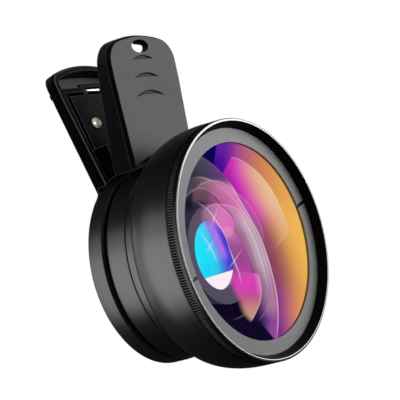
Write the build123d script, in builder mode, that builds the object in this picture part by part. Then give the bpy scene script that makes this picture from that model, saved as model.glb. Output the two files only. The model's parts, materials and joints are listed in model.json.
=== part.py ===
from build123d import *
import math
import os

# Clip on phone lens, in millimetres.
# The optical axis is the Y axis, and the lens looks along -Y.
# The origin is on that axis, at the rear face of the clip's ring, where the phone lies.
# +Z runs up the handles. "Forward" is the distance in front of the origin, along -Y.

# Clip ring, whose thread takes a 37 mm lens
ring_thread_radius = 18.5
ring_wall = 1.6
ring_depth = 3.9
ring_chamfer = 0.3
ring_flange_width = 3.5
ring_flange_depth = 1.3
ring_radius = ring_thread_radius + ring_wall
camera_window_radius = ring_thread_radius - ring_flange_width

# Fits, and how far a cut runs past the faces that it opens
thread_gap = 0.08
running_gap = 0.06
seat_gap = 0.05
jaw_gap = 0.3
past = 1.0

# Hinge pin
pin_forward = 1.7
pin_above_ring = 1.4
pin_radius = 0.7
pin_length = 16.6
pin_chamfer = 0.15
pin_height = ring_radius + pin_above_ring

# Front handle
face_forward = 9.2
handle_length = 25.15
handle_half_width = 11.2
handle_straight = 7.15
handle_foot_half_width = 10.3
handle_foot_drop = 4.5
handle_shoulder_drop = 2.2
handle_corner_radius = 5.0
handle_wall = 1.6
side_wall = 1.4
side_depth_top = 2.8
side_depth_foot = 5.3
barrel_clearance = 1.5
foot_wall = 1.4
face_edge_radius = 0.35
face_step_depth = 0.95
face_step_width = 0.2
handle_top = pin_height + handle_length
foot_arc_radius = ring_radius + barrel_clearance

# Lanyard hole and grip grooves of the front handle
lanyard_width = 5.6
lanyard_height = 2.8
lanyard_top_margin = 1.05
groove_count = 3
groove_first_drop = 2.3
groove_spacing = 3.65
groove_first_length = 7.0
groove_length_step = 1.45
groove_arch_radius = 14.0
groove_width = 0.85
groove_depth = 0.3
groove_draft = 20

# Hinge lugs on the front handle's neck
lug_outer_radius = 1.75
lug_inner_half = 2.3
lug_thickness = 1.7
lug_foot_drop = 1.1
neck_drop = 2.3
neck_rise = 1.4
neck_slope = 1.2
neck_trim = 0.3

# Rear handle, in its own tilted plane through the pin
rear_tilt = 16.0
rim_behind_pin = 1.6
rear_shorter = 1.15
rear_half_width = 11.6
rear_straight = 6.0
rear_foot_half_width = 10.7
rear_foot = -4.8
rear_corner_radius = 3.0
rear_side_depth = 2.5
rear_crown_depth = 4.8
rear_wall = 1.4
rear_edge_radius = 0.8
rim_edge_radius = 0.25
ledge_from_top = 5.3
ledge_thickness = 1.0
ledge_depth = 3.1
ear_outer_half = 8.5
ear_thickness = 1.3
ear_front = 1.44
ear_back = 4.0
ear_top = 4.0
ear_bottom = -2.6
rear_top = handle_length - rear_shorter
ledge_high = rear_top - ledge_from_top
ledge_low = ledge_high - ledge_thickness

# Spring cover with its tongue and window, and its two screws
cover_low = 4.6
cover_ledge_gap = 0.8
cover_half_width = 8.4
cover_thickness = 0.8
cover_drop = 0.1
tongue_half_width = 3.6
tongue_length = 2.7
tongue_room = 0.4
window_half_width = 2.5
window_margin = 0.85
window_height = 1.8
screw_half_spacing = 4.2
screw_from_ledge = 7.3
screw_head_radius = 1.15
screw_head_height = 0.75
screw_head_edge = 0.3
screw_shank_radius = 0.6
screw_shank_length = 1.6
screw_post_wall = 0.4
cover_high = ledge_low - cover_ledge_gap
tongue_high = cover_high + tongue_length
window_high = tongue_high - window_margin
screw_height = ledge_low - screw_from_ledge
screw_post_radius = screw_shank_radius + screw_post_wall

# Rear jaw, which bends round the edge of the phone
jaw_half_width = 8.5
jaw_neck_half_width = 6.0
jaw_neck_length = 3.8
jaw_seat_back = 2.4
jaw_seat_length = 4.4
jaw_seat_slope = 2.0
jaw_wall = 1.8
jaw_back_step = 1.2
jaw_bend_radius = 0.8
throat_depth = 4.9
throat_drop = 8.6
throat_height = 4.5
jaw_root_back = 1.2
jaw_root_drop = 3.9
jaw_shoulder_back = 4.5
jaw_shoulder_drop = 4.4
jaw_top_back = 3.6
jaw_top_drop = 2.1
throat_high = pin_height - throat_drop
throat_low = throat_high - throat_height
jaw_seat_top = throat_low - jaw_seat_slope
jaw_end_height = jaw_seat_top - jaw_seat_length

# Rubber pads
front_pad_inner_margin = 0.7
front_pad_outer_margin = 1.2
front_pad_recess = 0.5
front_pad_proud = 0.5
rear_pad_margin = 1.3
rear_pad_top_margin = 0.4
rear_pad_recess = 0.4
rear_pad_rib_count = 5
rear_pad_rib_pitch = 2.0
rear_pad_groove = 0.35
front_pad_inner = camera_window_radius + front_pad_inner_margin
front_pad_outer = ring_radius - front_pad_outer_margin
rear_pad_half_width = jaw_half_width - rear_pad_margin
rear_pad_top = jaw_seat_top - rear_pad_top_margin

# Torsion spring
wire_radius = 0.4
coil_mean_radius = 1.25
coil_whole_turns = 2
coil_pitch = 0.84
coil_side_gap = 0.1
bridge_half = 2.0
bridge_margin = 0.25
spring_post_gap = 0.2
rear_leg_slope = 35.5
rear_leg_inset = 1.0
front_leg_slope = 20.0
front_leg_from_top = 10.65

# Close-up barrel, which screws into the clip ring
close_up_inset = 0.1
close_up_groove = 1.0
close_up_length = 4.85
close_up_chamfer = 0.2
groove_ring_step = 0.4
thread_end_gap = 0.2
close_up_wall = 2.9
close_up_lip_width = 1.0
close_up_lip_depth = 0.8
joint_step = 0.5
joint_thread_length = 3.35
close_up_radius = ring_radius - close_up_inset
close_up_back = ring_depth + close_up_groove
close_up_front = close_up_back + close_up_length
groove_ring_radius = ring_thread_radius + groove_ring_step
close_up_thread_back = ring_flange_depth + thread_end_gap
close_up_bore_radius = ring_thread_radius - close_up_wall
close_up_lip_radius = close_up_bore_radius - close_up_lip_width
joint_thread_radius = ring_thread_radius - joint_step
joint_thread_back = close_up_front - joint_thread_length

# Close-up glass and its ring
glass_rim = 0.4
close_up_lens_edge = 2.6
close_up_lens_front_rise = 1.2
close_up_lens_back_rise = 0.6
close_up_ring_depth = 1.2

# Wide barrel, which screws into the close-up barrel
wide_step = 5.0
wide_band_depth = 1.7
cove_length = 1.35
cove_rise = 1.4
shoulder_reach = 9.45
shoulder_overlap = 0.05
barrel_straight = 2.0
rim_length = 2.56
spigot_step = 1.0
spigot_length = 0.8
front_ring_wall = 1.63
front_wall = 2.0
front_thread_depth = 1.85
front_seat_depth = 9.1
front_lip_width = 3.4
front_lip_depth = 0.9
rear_bore_wall = 2.3
rear_bore_depth = 4.6
cone_web = 1.8
inner_bore_radius = 9.0
inner_lip_width = 1.6
inner_lip_depth = 2.4
inner_boss_wall = 1.4
inner_boss_length = 4.0
wide_radius = close_up_radius + wide_step
wide_back = close_up_front + seat_gap
cove_start = wide_back + wide_band_depth
cove_end = cove_start + cove_length
shoulder_end = cove_end + shoulder_reach
barrel_end = shoulder_end + barrel_straight
rim_front = barrel_end + rim_length
spigot_radius = wide_radius - spigot_step
spigot_front = barrel_end + spigot_length
rim_wall_radius = wide_radius - front_ring_wall
front_bore_radius = wide_radius - front_wall
front_thread_back = spigot_front - front_thread_depth
front_seat = spigot_front - front_seat_depth
front_lip_radius = front_bore_radius - front_lip_width
front_lip_back = front_seat - front_lip_depth
wide_thread_back = joint_thread_back + thread_end_gap
wide_aperture_radius = inner_bore_radius - inner_lip_width
rear_bore_radius = joint_thread_radius - rear_bore_wall
rear_bore_end = wide_thread_back + rear_bore_depth
inner_seat = rear_bore_end + inner_lip_depth
inner_boss_front = inner_seat + inner_boss_length
inner_boss_radius = inner_bore_radius + inner_boss_wall
cone_back = rear_bore_end + cone_web

# Knurled grip ring
knurl_teeth = 280
knurl_depth = 0.22
knurl_root = 0.05
knurl_margin = 0.96
rim_chamfer_depth = 0.26
rim_chamfer_width = 0.5
knurl_end = rim_front - knurl_margin

# Front glass, its seal and its ring
seal_section = 0.5
seal_margin = 0.5
front_lens_lift = 1.5
front_lens_rise = 1.7
front_lens_hollow = 8.13
front_lens_rim = 1.6
front_ring_width = 3.02
front_ring_drop = 0.03
front_ring_rise = 0.2
spanner_slot_width = 0.7
spanner_slot_depth = 0.8
spanner_slot_turn = 16.5
front_ring_inner = rim_wall_radius - front_ring_width
front_ring_face = spigot_front - front_ring_drop

# Inner glass, its ring and the light baffle
inner_lens_edge = 2.6
inner_lens_hollow = 0.8
inner_lens_rise = 0.5
inner_ring_depth = 1.1
inner_ring_width = 2.0
inner_ring_bevel = 1.3
baffle_wall = 0.6
baffle_steps = 5
inner_ring_inner = inner_bore_radius - inner_ring_width

os.makedirs("parts", exist_ok=True)


def save(part, name):
    """Label a finished piece and write it to its own file."""
    part.label = name
    export_step(part, f"parts/{name}.step")


def forward_plane(distance):
    """The plane at a distance in front of the origin, seen from the front."""
    return Plane.XZ.offset(distance)


def handle_outline(top, half_width, straight, foot_half_width, foot):
    """Outline of a handle: tapered sides, straight below the shoulders, and a gently arched top."""
    shoulder = top - handle_shoulder_drop
    widest = shoulder - straight
    with BuildLine() as outline:
        Line((-foot_half_width, foot), (foot_half_width, foot))
        Line((foot_half_width, foot), (half_width, widest))
        Line((half_width, widest), (half_width, shoulder))
        ThreePointArc((half_width, shoulder), (0, top), (-half_width, shoulder))
        Line((-half_width, shoulder), (-half_width, widest))
        Line((-half_width, widest), (-foot_half_width, foot))
    return outline.line


def rounded_handle_face(top, half_width, straight, foot_half_width, foot, corner_radius, inset=0.0):
    """The face of a handle as a sketch, with its shoulders rounded, and smaller by an inset."""
    with BuildSketch() as face:
        make_face(handle_outline(top, half_width, straight, foot_half_width, foot).edges())
        shoulders = face.vertices().group_by(Axis.Y)[-1]
        fillet(shoulders, corner_radius)
        if inset:
            offset(amount=-inset)
    return face.sketch


# Front handle with the clip ring, one moulding
slope_top = face_forward - side_depth_top
slope_foot = face_forward - side_depth_foot
foot_inner_radius = foot_arc_radius + foot_wall
handle_foot = pin_height - handle_foot_drop
lanyard_middle = handle_top - lanyard_top_margin - lanyard_height / 2
neck_half_width = lug_inner_half + lug_thickness
neck_low = pin_height - neck_drop
neck_top = foot_inner_radius + neck_rise

with BuildPart() as front_arm:
    with BuildSketch(forward_plane(slope_foot)):
        add(rounded_handle_face(handle_top, handle_half_width, handle_straight,
                                handle_foot_half_width, handle_foot, handle_corner_radius))
    extrude(amount=side_depth_foot - face_step_depth)
    # The face stands on a narrow step
    with BuildSketch(forward_plane(face_forward - face_step_depth)):
        add(rounded_handle_face(handle_top, handle_half_width, handle_straight,
                                handle_foot_half_width, handle_foot, handle_corner_radius, face_step_width))
    extrude(amount=face_step_depth)
    # The side walls get shallower towards the top
    with BuildSketch(Plane.YZ):
        with BuildLine():
            Polyline((-slope_foot, pin_height), (-slope_top, handle_top), (-slope_top, handle_top + past),
                     (past - slope_foot, handle_top + past), (past - slope_foot, pin_height), close=True)
        make_face()
    extrude(amount=handle_half_width + past, both=True, mode=Mode.SUBTRACT)
    # The underside follows the barrel below it
    with BuildSketch(forward_plane(0)):
        Circle(foot_arc_radius)
    extrude(amount=face_forward + past, mode=Mode.SUBTRACT)
    fillet(front_arm.faces().sort_by(Axis.Y)[0].outer_wire().edges(), face_edge_radius)
    # Hollow from behind, down to the foot wall
    with BuildSketch(forward_plane(0)):
        add(rounded_handle_face(handle_top, handle_half_width, handle_straight,
                                handle_foot_half_width, handle_foot, handle_corner_radius, side_wall))
        Circle(foot_inner_radius, mode=Mode.SUBTRACT)
    extrude(amount=face_forward - handle_wall, mode=Mode.SUBTRACT)
    # Lanyard hole
    with BuildSketch(forward_plane(0)):
        with Locations((0, lanyard_middle)):
            Ellipse(lanyard_width / 2, lanyard_height / 2)
    extrude(amount=face_forward + past, mode=Mode.SUBTRACT)
    # Arched grip grooves, each a crescent between two arcs
    for number in range(groove_count):
        half = (groove_first_length + number * groove_length_step) / 2
        height = lanyard_middle - groove_first_drop - number * groove_spacing
        rise = groove_arch_radius - math.sqrt(groove_arch_radius**2 - half**2)
        with BuildSketch(forward_plane(face_forward)):
            with BuildLine():
                ThreePointArc((-half, height - rise), (0, height + groove_width / 2), (half, height - rise))
                ThreePointArc((half, height - rise), (0, height - groove_width / 2), (-half, height - rise))
            make_face()
        extrude(amount=-groove_depth, taper=groove_draft, mode=Mode.SUBTRACT)
    # Clip ring with its threaded bore and rear flange
    with BuildSketch(Plane.XY):
        with BuildLine():
            Polyline((camera_window_radius, 0), (ring_radius - ring_chamfer, 0), (ring_radius, -ring_chamfer),
                     (ring_radius, -ring_depth + ring_chamfer), (ring_radius - ring_chamfer, -ring_depth),
                     (ring_thread_radius + ring_chamfer, -ring_depth),
                     (ring_thread_radius, -ring_depth + ring_chamfer),
                     (ring_thread_radius, -ring_flange_depth), (camera_window_radius, -ring_flange_depth),
                     close=True)
        make_face()
    revolve(axis=Axis.Y)
    # Neck from the ring to the handle, which carries the hinge lugs
    with BuildSketch(Plane.YZ):
        with BuildLine():
            Polyline((-pin_forward - lug_outer_radius, pin_height),
                     (-pin_forward - lug_outer_radius, neck_low), (-ring_chamfer, neck_low), (-pin_forward + lug_outer_radius, pin_height - lug_foot_drop),
                     (-pin_forward + lug_outer_radius, pin_height), close=True)
        make_face()
        with Locations((-pin_forward, pin_height)):
            Circle(lug_outer_radius)
        with BuildLine():
            Polyline((-pin_forward, pin_height + lug_outer_radius), (-slope_foot - neck_slope, neck_top),
                     (-face_forward + handle_wall / 2, neck_top),
                     (-face_forward + handle_wall / 2, foot_arc_radius + neck_trim),
                     (-ring_depth, neck_low), (-pin_forward, neck_low), close=True)
        make_face()
    extrude(amount=neck_half_width, both=True)
    with BuildSketch(Plane.YZ):
        with Locations((-pin_forward, pin_height)):
            Rectangle(2 * (lug_outer_radius + jaw_gap), 2 * (lug_outer_radius + jaw_gap))
    extrude(amount=lug_inner_half, both=True, mode=Mode.SUBTRACT)
    with BuildSketch(Plane.YZ):
        with Locations((-pin_forward, pin_height)):
            Circle(pin_radius + running_gap)
    extrude(amount=neck_half_width + past, both=True, mode=Mode.SUBTRACT)
    # The lug block leaves the threaded bore and the barrel's groove free
    with BuildSketch(forward_plane(ring_depth)):
        Circle(foot_arc_radius)
    extrude(amount=face_forward, mode=Mode.SUBTRACT)
    # Recess for the rubber ring
    with BuildSketch(forward_plane(0)):
        Circle(front_pad_outer)
        Circle(front_pad_inner, mode=Mode.SUBTRACT)
    extrude(amount=front_pad_recess, mode=Mode.SUBTRACT)
save(front_arm.part, "front_arm")

with BuildPart() as front_pad:
    with BuildSketch(forward_plane(-front_pad_proud)):
        Circle(front_pad_outer - seat_gap)
        Circle(front_pad_inner + seat_gap, mode=Mode.SUBTRACT)
    extrude(amount=front_pad_proud + front_pad_recess)
save(front_pad.part, "front_pad")

# Rear handle, ears and jaw, one moulding
tilt = math.radians(rear_tilt)
rear_normal = (0, -math.cos(tilt), math.sin(tilt))
pin_point = Vector(0, -pin_forward, pin_height)


def rear_plane(ahead_of_pin):
    """A plane parallel to the rear handle's rim, ahead of the pin along the handle's normal."""
    return Plane(origin=pin_point + Vector(*rear_normal) * ahead_of_pin, x_dir=(1, 0, 0), z_dir=rear_normal)


rim = -rim_behind_pin
cover_under = rim - cover_drop - cover_thickness
crown_radius = (rear_half_width**2 + (rear_crown_depth - rear_side_depth) ** 2) / (
    2 * (rear_crown_depth - rear_side_depth))
along_handle = Plane(origin=pin_point, x_dir=(1, 0, 0), z_dir=(0, math.sin(tilt), math.cos(tilt)))


def crowned_bar(radius):
    """A long round bar whose far side is the crowned back of the rear handle."""
    with BuildPart() as bar:
        with BuildSketch(along_handle):
            with Locations((0, rim_behind_pin + rear_crown_depth - crown_radius)):
                Circle(radius)
        extrude(amount=2 * rear_top, both=True)
    return bar.part


with BuildPart() as rear_shell:
    with BuildSketch(rear_plane(rim)):
        add(rounded_handle_face(rear_top, rear_half_width, rear_straight, rear_foot_half_width,
                                rear_foot, rear_corner_radius))
    extrude(amount=-rear_crown_depth - past)
    add(crowned_bar(crown_radius), mode=Mode.INTERSECT)
    fillet(rear_shell.faces().sort_by(Axis.Y)[-1].outer_wire().edges(), rear_edge_radius)
    fillet(rear_shell.faces().filter_by(rear_plane(rim)).edges(), rim_edge_radius)

with BuildPart() as rear_hollow:
    with BuildSketch(rear_plane(rim + seat_gap)):
        add(rounded_handle_face(rear_top, rear_half_width, rear_straight, rear_foot_half_width,
                                rear_foot + rear_wall, rear_corner_radius, rear_wall))
    extrude(amount=-rear_crown_depth - past)
    add(crowned_bar(crown_radius - rear_wall), mode=Mode.INTERSECT)

jaw_bottom = jaw_end_height - jaw_half_width
jaw_neck_height = throat_low - jaw_back_step + jaw_neck_length
jaw_front = [(jaw_root_back, pin_height - jaw_root_drop), (throat_depth, throat_high),
             (throat_depth, throat_low), (jaw_seat_back, jaw_seat_top), (jaw_seat_back, jaw_bottom - past)]
jaw_back = [(jaw_seat_back + jaw_wall, jaw_bottom - past),
            (jaw_seat_back + jaw_wall, jaw_seat_top - jaw_back_step), (throat_depth + jaw_wall, throat_low - jaw_back_step),
            (throat_depth + jaw_wall, throat_high + jaw_bend_radius),
            (jaw_shoulder_back, pin_height - jaw_shoulder_drop), (jaw_top_back, pin_height - jaw_top_drop)]

with BuildPart() as jaw:
    with BuildSketch(Plane.YZ):
        with BuildLine():
            Polyline(*jaw_front, *jaw_back, close=True)
        make_face()
    extrude(amount=jaw_half_width + past, both=True)
    bends = jaw.edges().filter_by(Axis.X).group_by(Axis.Z)[1:-3]
    fillet([edge for bend in bends for edge in bend], jaw_bend_radius)
    with BuildSketch(Plane.XZ):
        with BuildLine():
            Polyline((-jaw_half_width, jaw_end_height), (-jaw_half_width, throat_low - jaw_back_step),
                     (-jaw_neck_half_width, jaw_neck_height), (-jaw_neck_half_width, pin_height),
                     (jaw_neck_half_width, pin_height), (jaw_neck_half_width, jaw_neck_height),
                     (jaw_half_width, throat_low - jaw_back_step), (jaw_half_width, jaw_end_height))
            ThreePointArc((jaw_half_width, jaw_end_height), (0, jaw_bottom), (-jaw_half_width, jaw_end_height))
        make_face()
    extrude(amount=2 * (throat_depth + jaw_wall), both=True, mode=Mode.INTERSECT)

with BuildPart() as rear_arm:
    add(rear_shell.part)
    add(rear_hollow.part, mode=Mode.SUBTRACT)
    # Ledge across the tray, above the spring cover
    with BuildSketch(rear_plane(rim)):
        with Locations((0, (ledge_low + ledge_high) / 2)):
            Rectangle(2 * (rear_half_width - rear_wall / 2), ledge_high - ledge_low)
    extrude(amount=-ledge_depth)
    # Side ribs that carry the cover and end in the hinge ears
    for side in (-1, 1):
        middle = side * (ear_outer_half - ear_thickness / 2)
        with BuildSketch(rear_plane(cover_under)):
            with Locations((middle, (ledge_low + rear_foot + rear_wall) / 2)):
                Rectangle(ear_thickness, ledge_low - rear_foot - rear_wall)
        extrude(amount=-rear_side_depth)
        with BuildSketch(Plane(origin=pin_point + Vector(side * ear_outer_half, 0, 0),
                               x_dir=(0, math.sin(tilt), math.cos(tilt)), z_dir=(side, 0, 0))):
            with BuildLine():
                Polyline((ear_top, side * ear_front), (ear_bottom, side * ear_front),
                         (ear_bottom, side * -ear_back), (cover_low + ear_thickness, side * -ear_back),
                         (cover_low + ear_thickness, side * cover_under), (cover_low - seat_gap, side * cover_under),
                         (cover_low - seat_gap, side * (rim - cover_drop)), close=True)
            make_face()
        extrude(amount=-ear_thickness)
    add(jaw.part)
    # Shank posts for the two cover screws
    with BuildSketch(rear_plane(cover_under)):
        with Locations((-screw_half_spacing, screw_height), (screw_half_spacing, screw_height)):
            Circle(screw_post_radius)
    extrude(amount=-rear_side_depth)
    with BuildSketch(rear_plane(cover_under)):
        with Locations((-screw_half_spacing, screw_height), (screw_half_spacing, screw_height)):
            Circle(screw_shank_radius)
    extrude(amount=-screw_shank_length, mode=Mode.SUBTRACT)
    # Notch for the cover's tongue
    with BuildSketch(rear_plane(rim)):
        with Locations((0, (ledge_low + tongue_high) / 2)):
            Rectangle(2 * (tongue_half_width + running_gap), tongue_high - ledge_low + tongue_room)
    extrude(amount=cover_under - rim - 2 * wire_radius - 2 * seat_gap, mode=Mode.SUBTRACT)
    # Room for the clip ring and its rubber
    with BuildSketch(forward_plane(-front_pad_proud - jaw_gap)):
        Circle(ring_radius + jaw_gap)
    extrude(amount=face_forward, mode=Mode.SUBTRACT)
    # Pin holes through the ears
    with BuildSketch(Plane.YZ):
        with Locations((-pin_forward, pin_height)):
            Circle(pin_radius)
    extrude(amount=pin_length / 2, both=True, mode=Mode.SUBTRACT)
    # Seat for the rubber pad
    with BuildSketch(Plane.XZ):
        with Locations((0, (rear_pad_top + jaw_end_height) / 2)):
            Rectangle(2 * rear_pad_half_width, rear_pad_top - jaw_end_height)
        with Locations((0, jaw_end_height)):
            Circle(rear_pad_half_width)
    extrude(amount=-jaw_seat_back - rear_pad_recess, mode=Mode.SUBTRACT)
save(rear_arm.part, "rear_arm")

with BuildPart() as rear_pad:
    with BuildSketch(forward_plane(-front_pad_proud - jaw_gap)):
        with Locations((0, (rear_pad_top + jaw_end_height) / 2)):
            Rectangle(2 * (rear_pad_half_width - seat_gap), rear_pad_top - jaw_end_height)
        with Locations((0, jaw_end_height)):
            Circle(rear_pad_half_width - seat_gap)
    extrude(amount=-(jaw_seat_back + rear_pad_recess - front_pad_proud - jaw_gap))
    # Cross grooves that grip the phone
    with BuildSketch(Plane.YZ):
        with GridLocations(0, rear_pad_rib_pitch, 1, rear_pad_rib_count):
            with Locations((front_pad_proud + jaw_gap, jaw_end_height)):
                Rectangle(2 * rear_pad_groove, 2 * rear_pad_groove, rotation=45)
    extrude(amount=rear_pad_half_width, both=True, mode=Mode.SUBTRACT)
save(rear_pad.part, "rear_pad")

# Hinge pin, pressed into the ears
with BuildPart() as hinge_pin:
    with BuildSketch(Plane.YZ):
        with Locations((-pin_forward, pin_height)):
            Circle(pin_radius)
    extrude(amount=pin_length / 2, both=True)
    chamfer(hinge_pin.edges().filter_by(GeomType.CIRCLE), pin_chamfer)
save(hinge_pin.part, "hinge_pin")

# Spring cover with its raised tongue and window
with BuildPart() as spring_cover:
    with BuildSketch(rear_plane(rim - cover_drop)):
        with Locations((0, (cover_low + cover_high) / 2)):
            Rectangle(2 * cover_half_width, cover_high - cover_low)
        with Locations((0, (cover_high + tongue_high) / 2)):
            Rectangle(2 * tongue_half_width, tongue_high - cover_high)
    extrude(amount=-cover_thickness)
    with BuildSketch(rear_plane(rim - cover_drop)):
        with Locations((0, window_high - window_height / 2)):
            Rectangle(2 * window_half_width, window_height)
        with Locations((-screw_half_spacing, screw_height), (screw_half_spacing, screw_height)):
            Circle(screw_shank_radius + seat_gap)
    extrude(amount=-cover_thickness, mode=Mode.SUBTRACT)
save(spring_cover.part, "spring_cover")

for number, side in enumerate((-1, 1), start=1):
    with BuildPart() as cover_screw:
        with Locations(rear_plane(rim - cover_drop)):
            with Locations((side * screw_half_spacing, screw_height, -cover_thickness - screw_shank_length)):
                Cylinder(screw_shank_radius - seat_gap, cover_thickness + screw_shank_length,
                         align=(Align.CENTER, Align.CENTER, Align.MIN))
            with Locations((side * screw_half_spacing, screw_height, 0)):
                Cylinder(screw_head_radius, screw_head_height, align=(Align.CENTER, Align.CENTER, Align.MIN))
        fillet(cover_screw.edges().filter_by(GeomType.CIRCLE).sort_by(Axis.Y)[0], screw_head_edge)
    save(cover_screw.part, f"cover_screw_{number}")

# Torsion spring: two coils round the pin, joined by a bridge in the rear handle
rear_leg_angle = math.radians(rear_leg_slope)
front_leg_angle = math.radians(front_leg_slope)
coil_inner_half = neck_half_width + wire_radius + coil_side_gap
coil_turns = coil_whole_turns + (180 - rear_leg_slope - front_leg_slope) / 360
coil_start_side = Vector(0, math.cos(rear_leg_angle), -math.sin(rear_leg_angle))
coil_end_side = Vector(0, -math.cos(front_leg_angle), -math.sin(front_leg_angle))
rear_leg_way = Vector(0, math.sin(rear_leg_angle), math.cos(rear_leg_angle))
front_leg_way = Vector(0, -math.sin(front_leg_angle), math.cos(front_leg_angle))
coil_start = pin_point + Vector(-coil_inner_half, 0, 0) + coil_start_side * coil_mean_radius
coil_end = pin_point + Vector(-coil_inner_half - coil_turns * coil_pitch, 0, 0) + coil_end_side * coil_mean_radius
under_cover = rear_plane(cover_under - wire_radius - seat_gap)
window_middle = rear_plane(rim - cover_drop - cover_thickness / 2)
under_cover_depth = wire_radius + seat_gap - cover_under
off_handle = rear_leg_angle - tilt
rear_leg_length = (under_cover_depth - coil_mean_radius * math.cos(off_handle)) / math.sin(off_handle)
bridge_height = window_high - bridge_margin - wire_radius
rear_bend = coil_start + rear_leg_way * rear_leg_length
rear_turn = under_cover.from_local_coords(Vector(
    screw_post_radius + wire_radius + spring_post_gap - screw_half_spacing,
    screw_height - screw_post_radius - wire_radius, 0))
rear_end = under_cover.from_local_coords(Vector(-bridge_half, bridge_height - rear_leg_inset, 0))
bridge_end = window_middle.from_local_coords(Vector(-bridge_half, bridge_height, 0))
front_rest = -face_forward + handle_wall + wire_radius + seat_gap
front_bend = coil_end + front_leg_way * ((coil_end.Y - front_rest) / math.sin(front_leg_angle))
front_end = Vector(front_bend.X, front_rest, handle_top - front_leg_from_top)

coil_plane = Plane(origin=pin_point + Vector(-coil_inner_half, 0, 0), x_dir=coil_start_side, z_dir=(-1, 0, 0))
coil_line = coil_plane * Helix(pitch=coil_pitch, height=coil_turns * coil_pitch, radius=coil_mean_radius)

with BuildPart() as torsion_spring:
    with BuildSketch(Plane(origin=coil_line @ 0, z_dir=coil_line % 0)):
        Circle(wire_radius)
    sweep(path=coil_line)
    for leg in ((coil_start, rear_bend, rear_turn, rear_end, bridge_end, Vector(0, bridge_end.Y, bridge_end.Z)),
                (coil_end, front_bend, front_end)):
        for start, stop in zip(leg, leg[1:]):
            with BuildSketch(Plane(origin=start, z_dir=stop - start)):
                Circle(wire_radius)
            extrude(amount=(stop - start).length)
        for corner in leg[1:-1]:
            with Locations(corner):
                Sphere(wire_radius)
    mirror(about=Plane.YZ)
save(torsion_spring.part, "torsion_spring")


def half_section(*points):
    """Half section of a round piece. Each point is a radius and a distance forward."""
    with BuildSketch(Plane.XY) as half:
        with BuildLine():
            Polyline(*[(radius, -forward) for radius, forward in points], close=True)
        make_face()
    return half.sketch


def ground_face(edge_radius, edge_forward, rise, at_radius):
    """A point of a ball-shaped glass face that rises forward towards the axis by a given amount."""
    ball = (edge_radius**2 + rise**2) / (2 * abs(rise))
    depth = math.sqrt(ball**2 - at_radius**2) - math.sqrt(ball**2 - edge_radius**2)
    return (at_radius, -edge_forward - math.copysign(depth, rise))


def glass_section(outer, back, front, back_clear, back_rise, front_clear, front_rise, lift=0.0):
    """Half section of a glass: flat rims at back and front, and a ball-shaped face inside each.

    With a lift, the front face stands proud of its rim by that much.
    """
    edge = front + lift
    with BuildSketch(Plane.XY) as half:
        with BuildLine():
            Polyline(ground_face(back_clear, back, back_rise, 0), ground_face(front_clear, edge, front_rise, 0))
            ThreePointArc(ground_face(front_clear, edge, front_rise, 0),
                          ground_face(front_clear, edge, front_rise, front_clear / 2),
                          (front_clear, -edge))
            if lift:
                Line((front_clear, -edge), (front_clear, -front))
            Polyline((front_clear, -front), (outer, -front), (outer, -back), (back_clear, -back))
            ThreePointArc((back_clear, -back), ground_face(back_clear, back, back_rise, back_clear / 2),
                          ground_face(back_clear, back, back_rise, 0))
        make_face()
    return half.sketch


# Close-up barrel, which screws into the clip ring
close_up_thread = ring_thread_radius - thread_gap
close_up_seat = close_up_thread_back + close_up_lip_depth
with BuildPart() as close_up_barrel:
    add(revolve(half_section(
        (close_up_lip_radius, close_up_thread_back), (close_up_thread, close_up_thread_back),
        (close_up_thread, ring_depth + seat_gap), (groove_ring_radius, ring_depth + seat_gap),
        (groove_ring_radius, close_up_back), (close_up_radius - close_up_chamfer, close_up_back),
        (close_up_radius, close_up_back + close_up_chamfer),
        (close_up_radius, close_up_front - close_up_chamfer),
        (close_up_radius - close_up_chamfer, close_up_front), (joint_thread_radius, close_up_front),
        (joint_thread_radius, joint_thread_back), (close_up_bore_radius, joint_thread_back),
        (close_up_bore_radius, close_up_seat), (close_up_lip_radius, close_up_seat)),
        axis=Axis.Y, mode=Mode.PRIVATE))
save(close_up_barrel.part, "close_up_barrel")

close_up_ring_inner = close_up_lip_radius - glass_rim
close_up_lens_back = close_up_seat + seat_gap
close_up_lens_front = close_up_lens_back + close_up_lens_edge
with BuildPart() as close_up_lens:
    add(revolve(glass_section(
        close_up_bore_radius - running_gap, close_up_lens_back, close_up_lens_front,
        close_up_ring_inner, -close_up_lens_back_rise, close_up_ring_inner, close_up_lens_front_rise),
        axis=Axis.Y, mode=Mode.PRIVATE))
save(close_up_lens.part, "close_up_lens")

close_up_ring_back = close_up_lens_front + seat_gap
with BuildPart() as close_up_retaining_ring:
    with BuildSketch(forward_plane(close_up_ring_back)):
        Circle(close_up_bore_radius - seat_gap)
        Circle(close_up_ring_inner, mode=Mode.SUBTRACT)
    extrude(amount=close_up_ring_depth)
    with BuildSketch(forward_plane(close_up_ring_back + close_up_ring_depth)):
        Rectangle(2 * close_up_bore_radius, spanner_slot_width)
    extrude(amount=-close_up_ring_depth / 2, mode=Mode.SUBTRACT)
save(close_up_retaining_ring.part, "close_up_retaining_ring")

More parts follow.
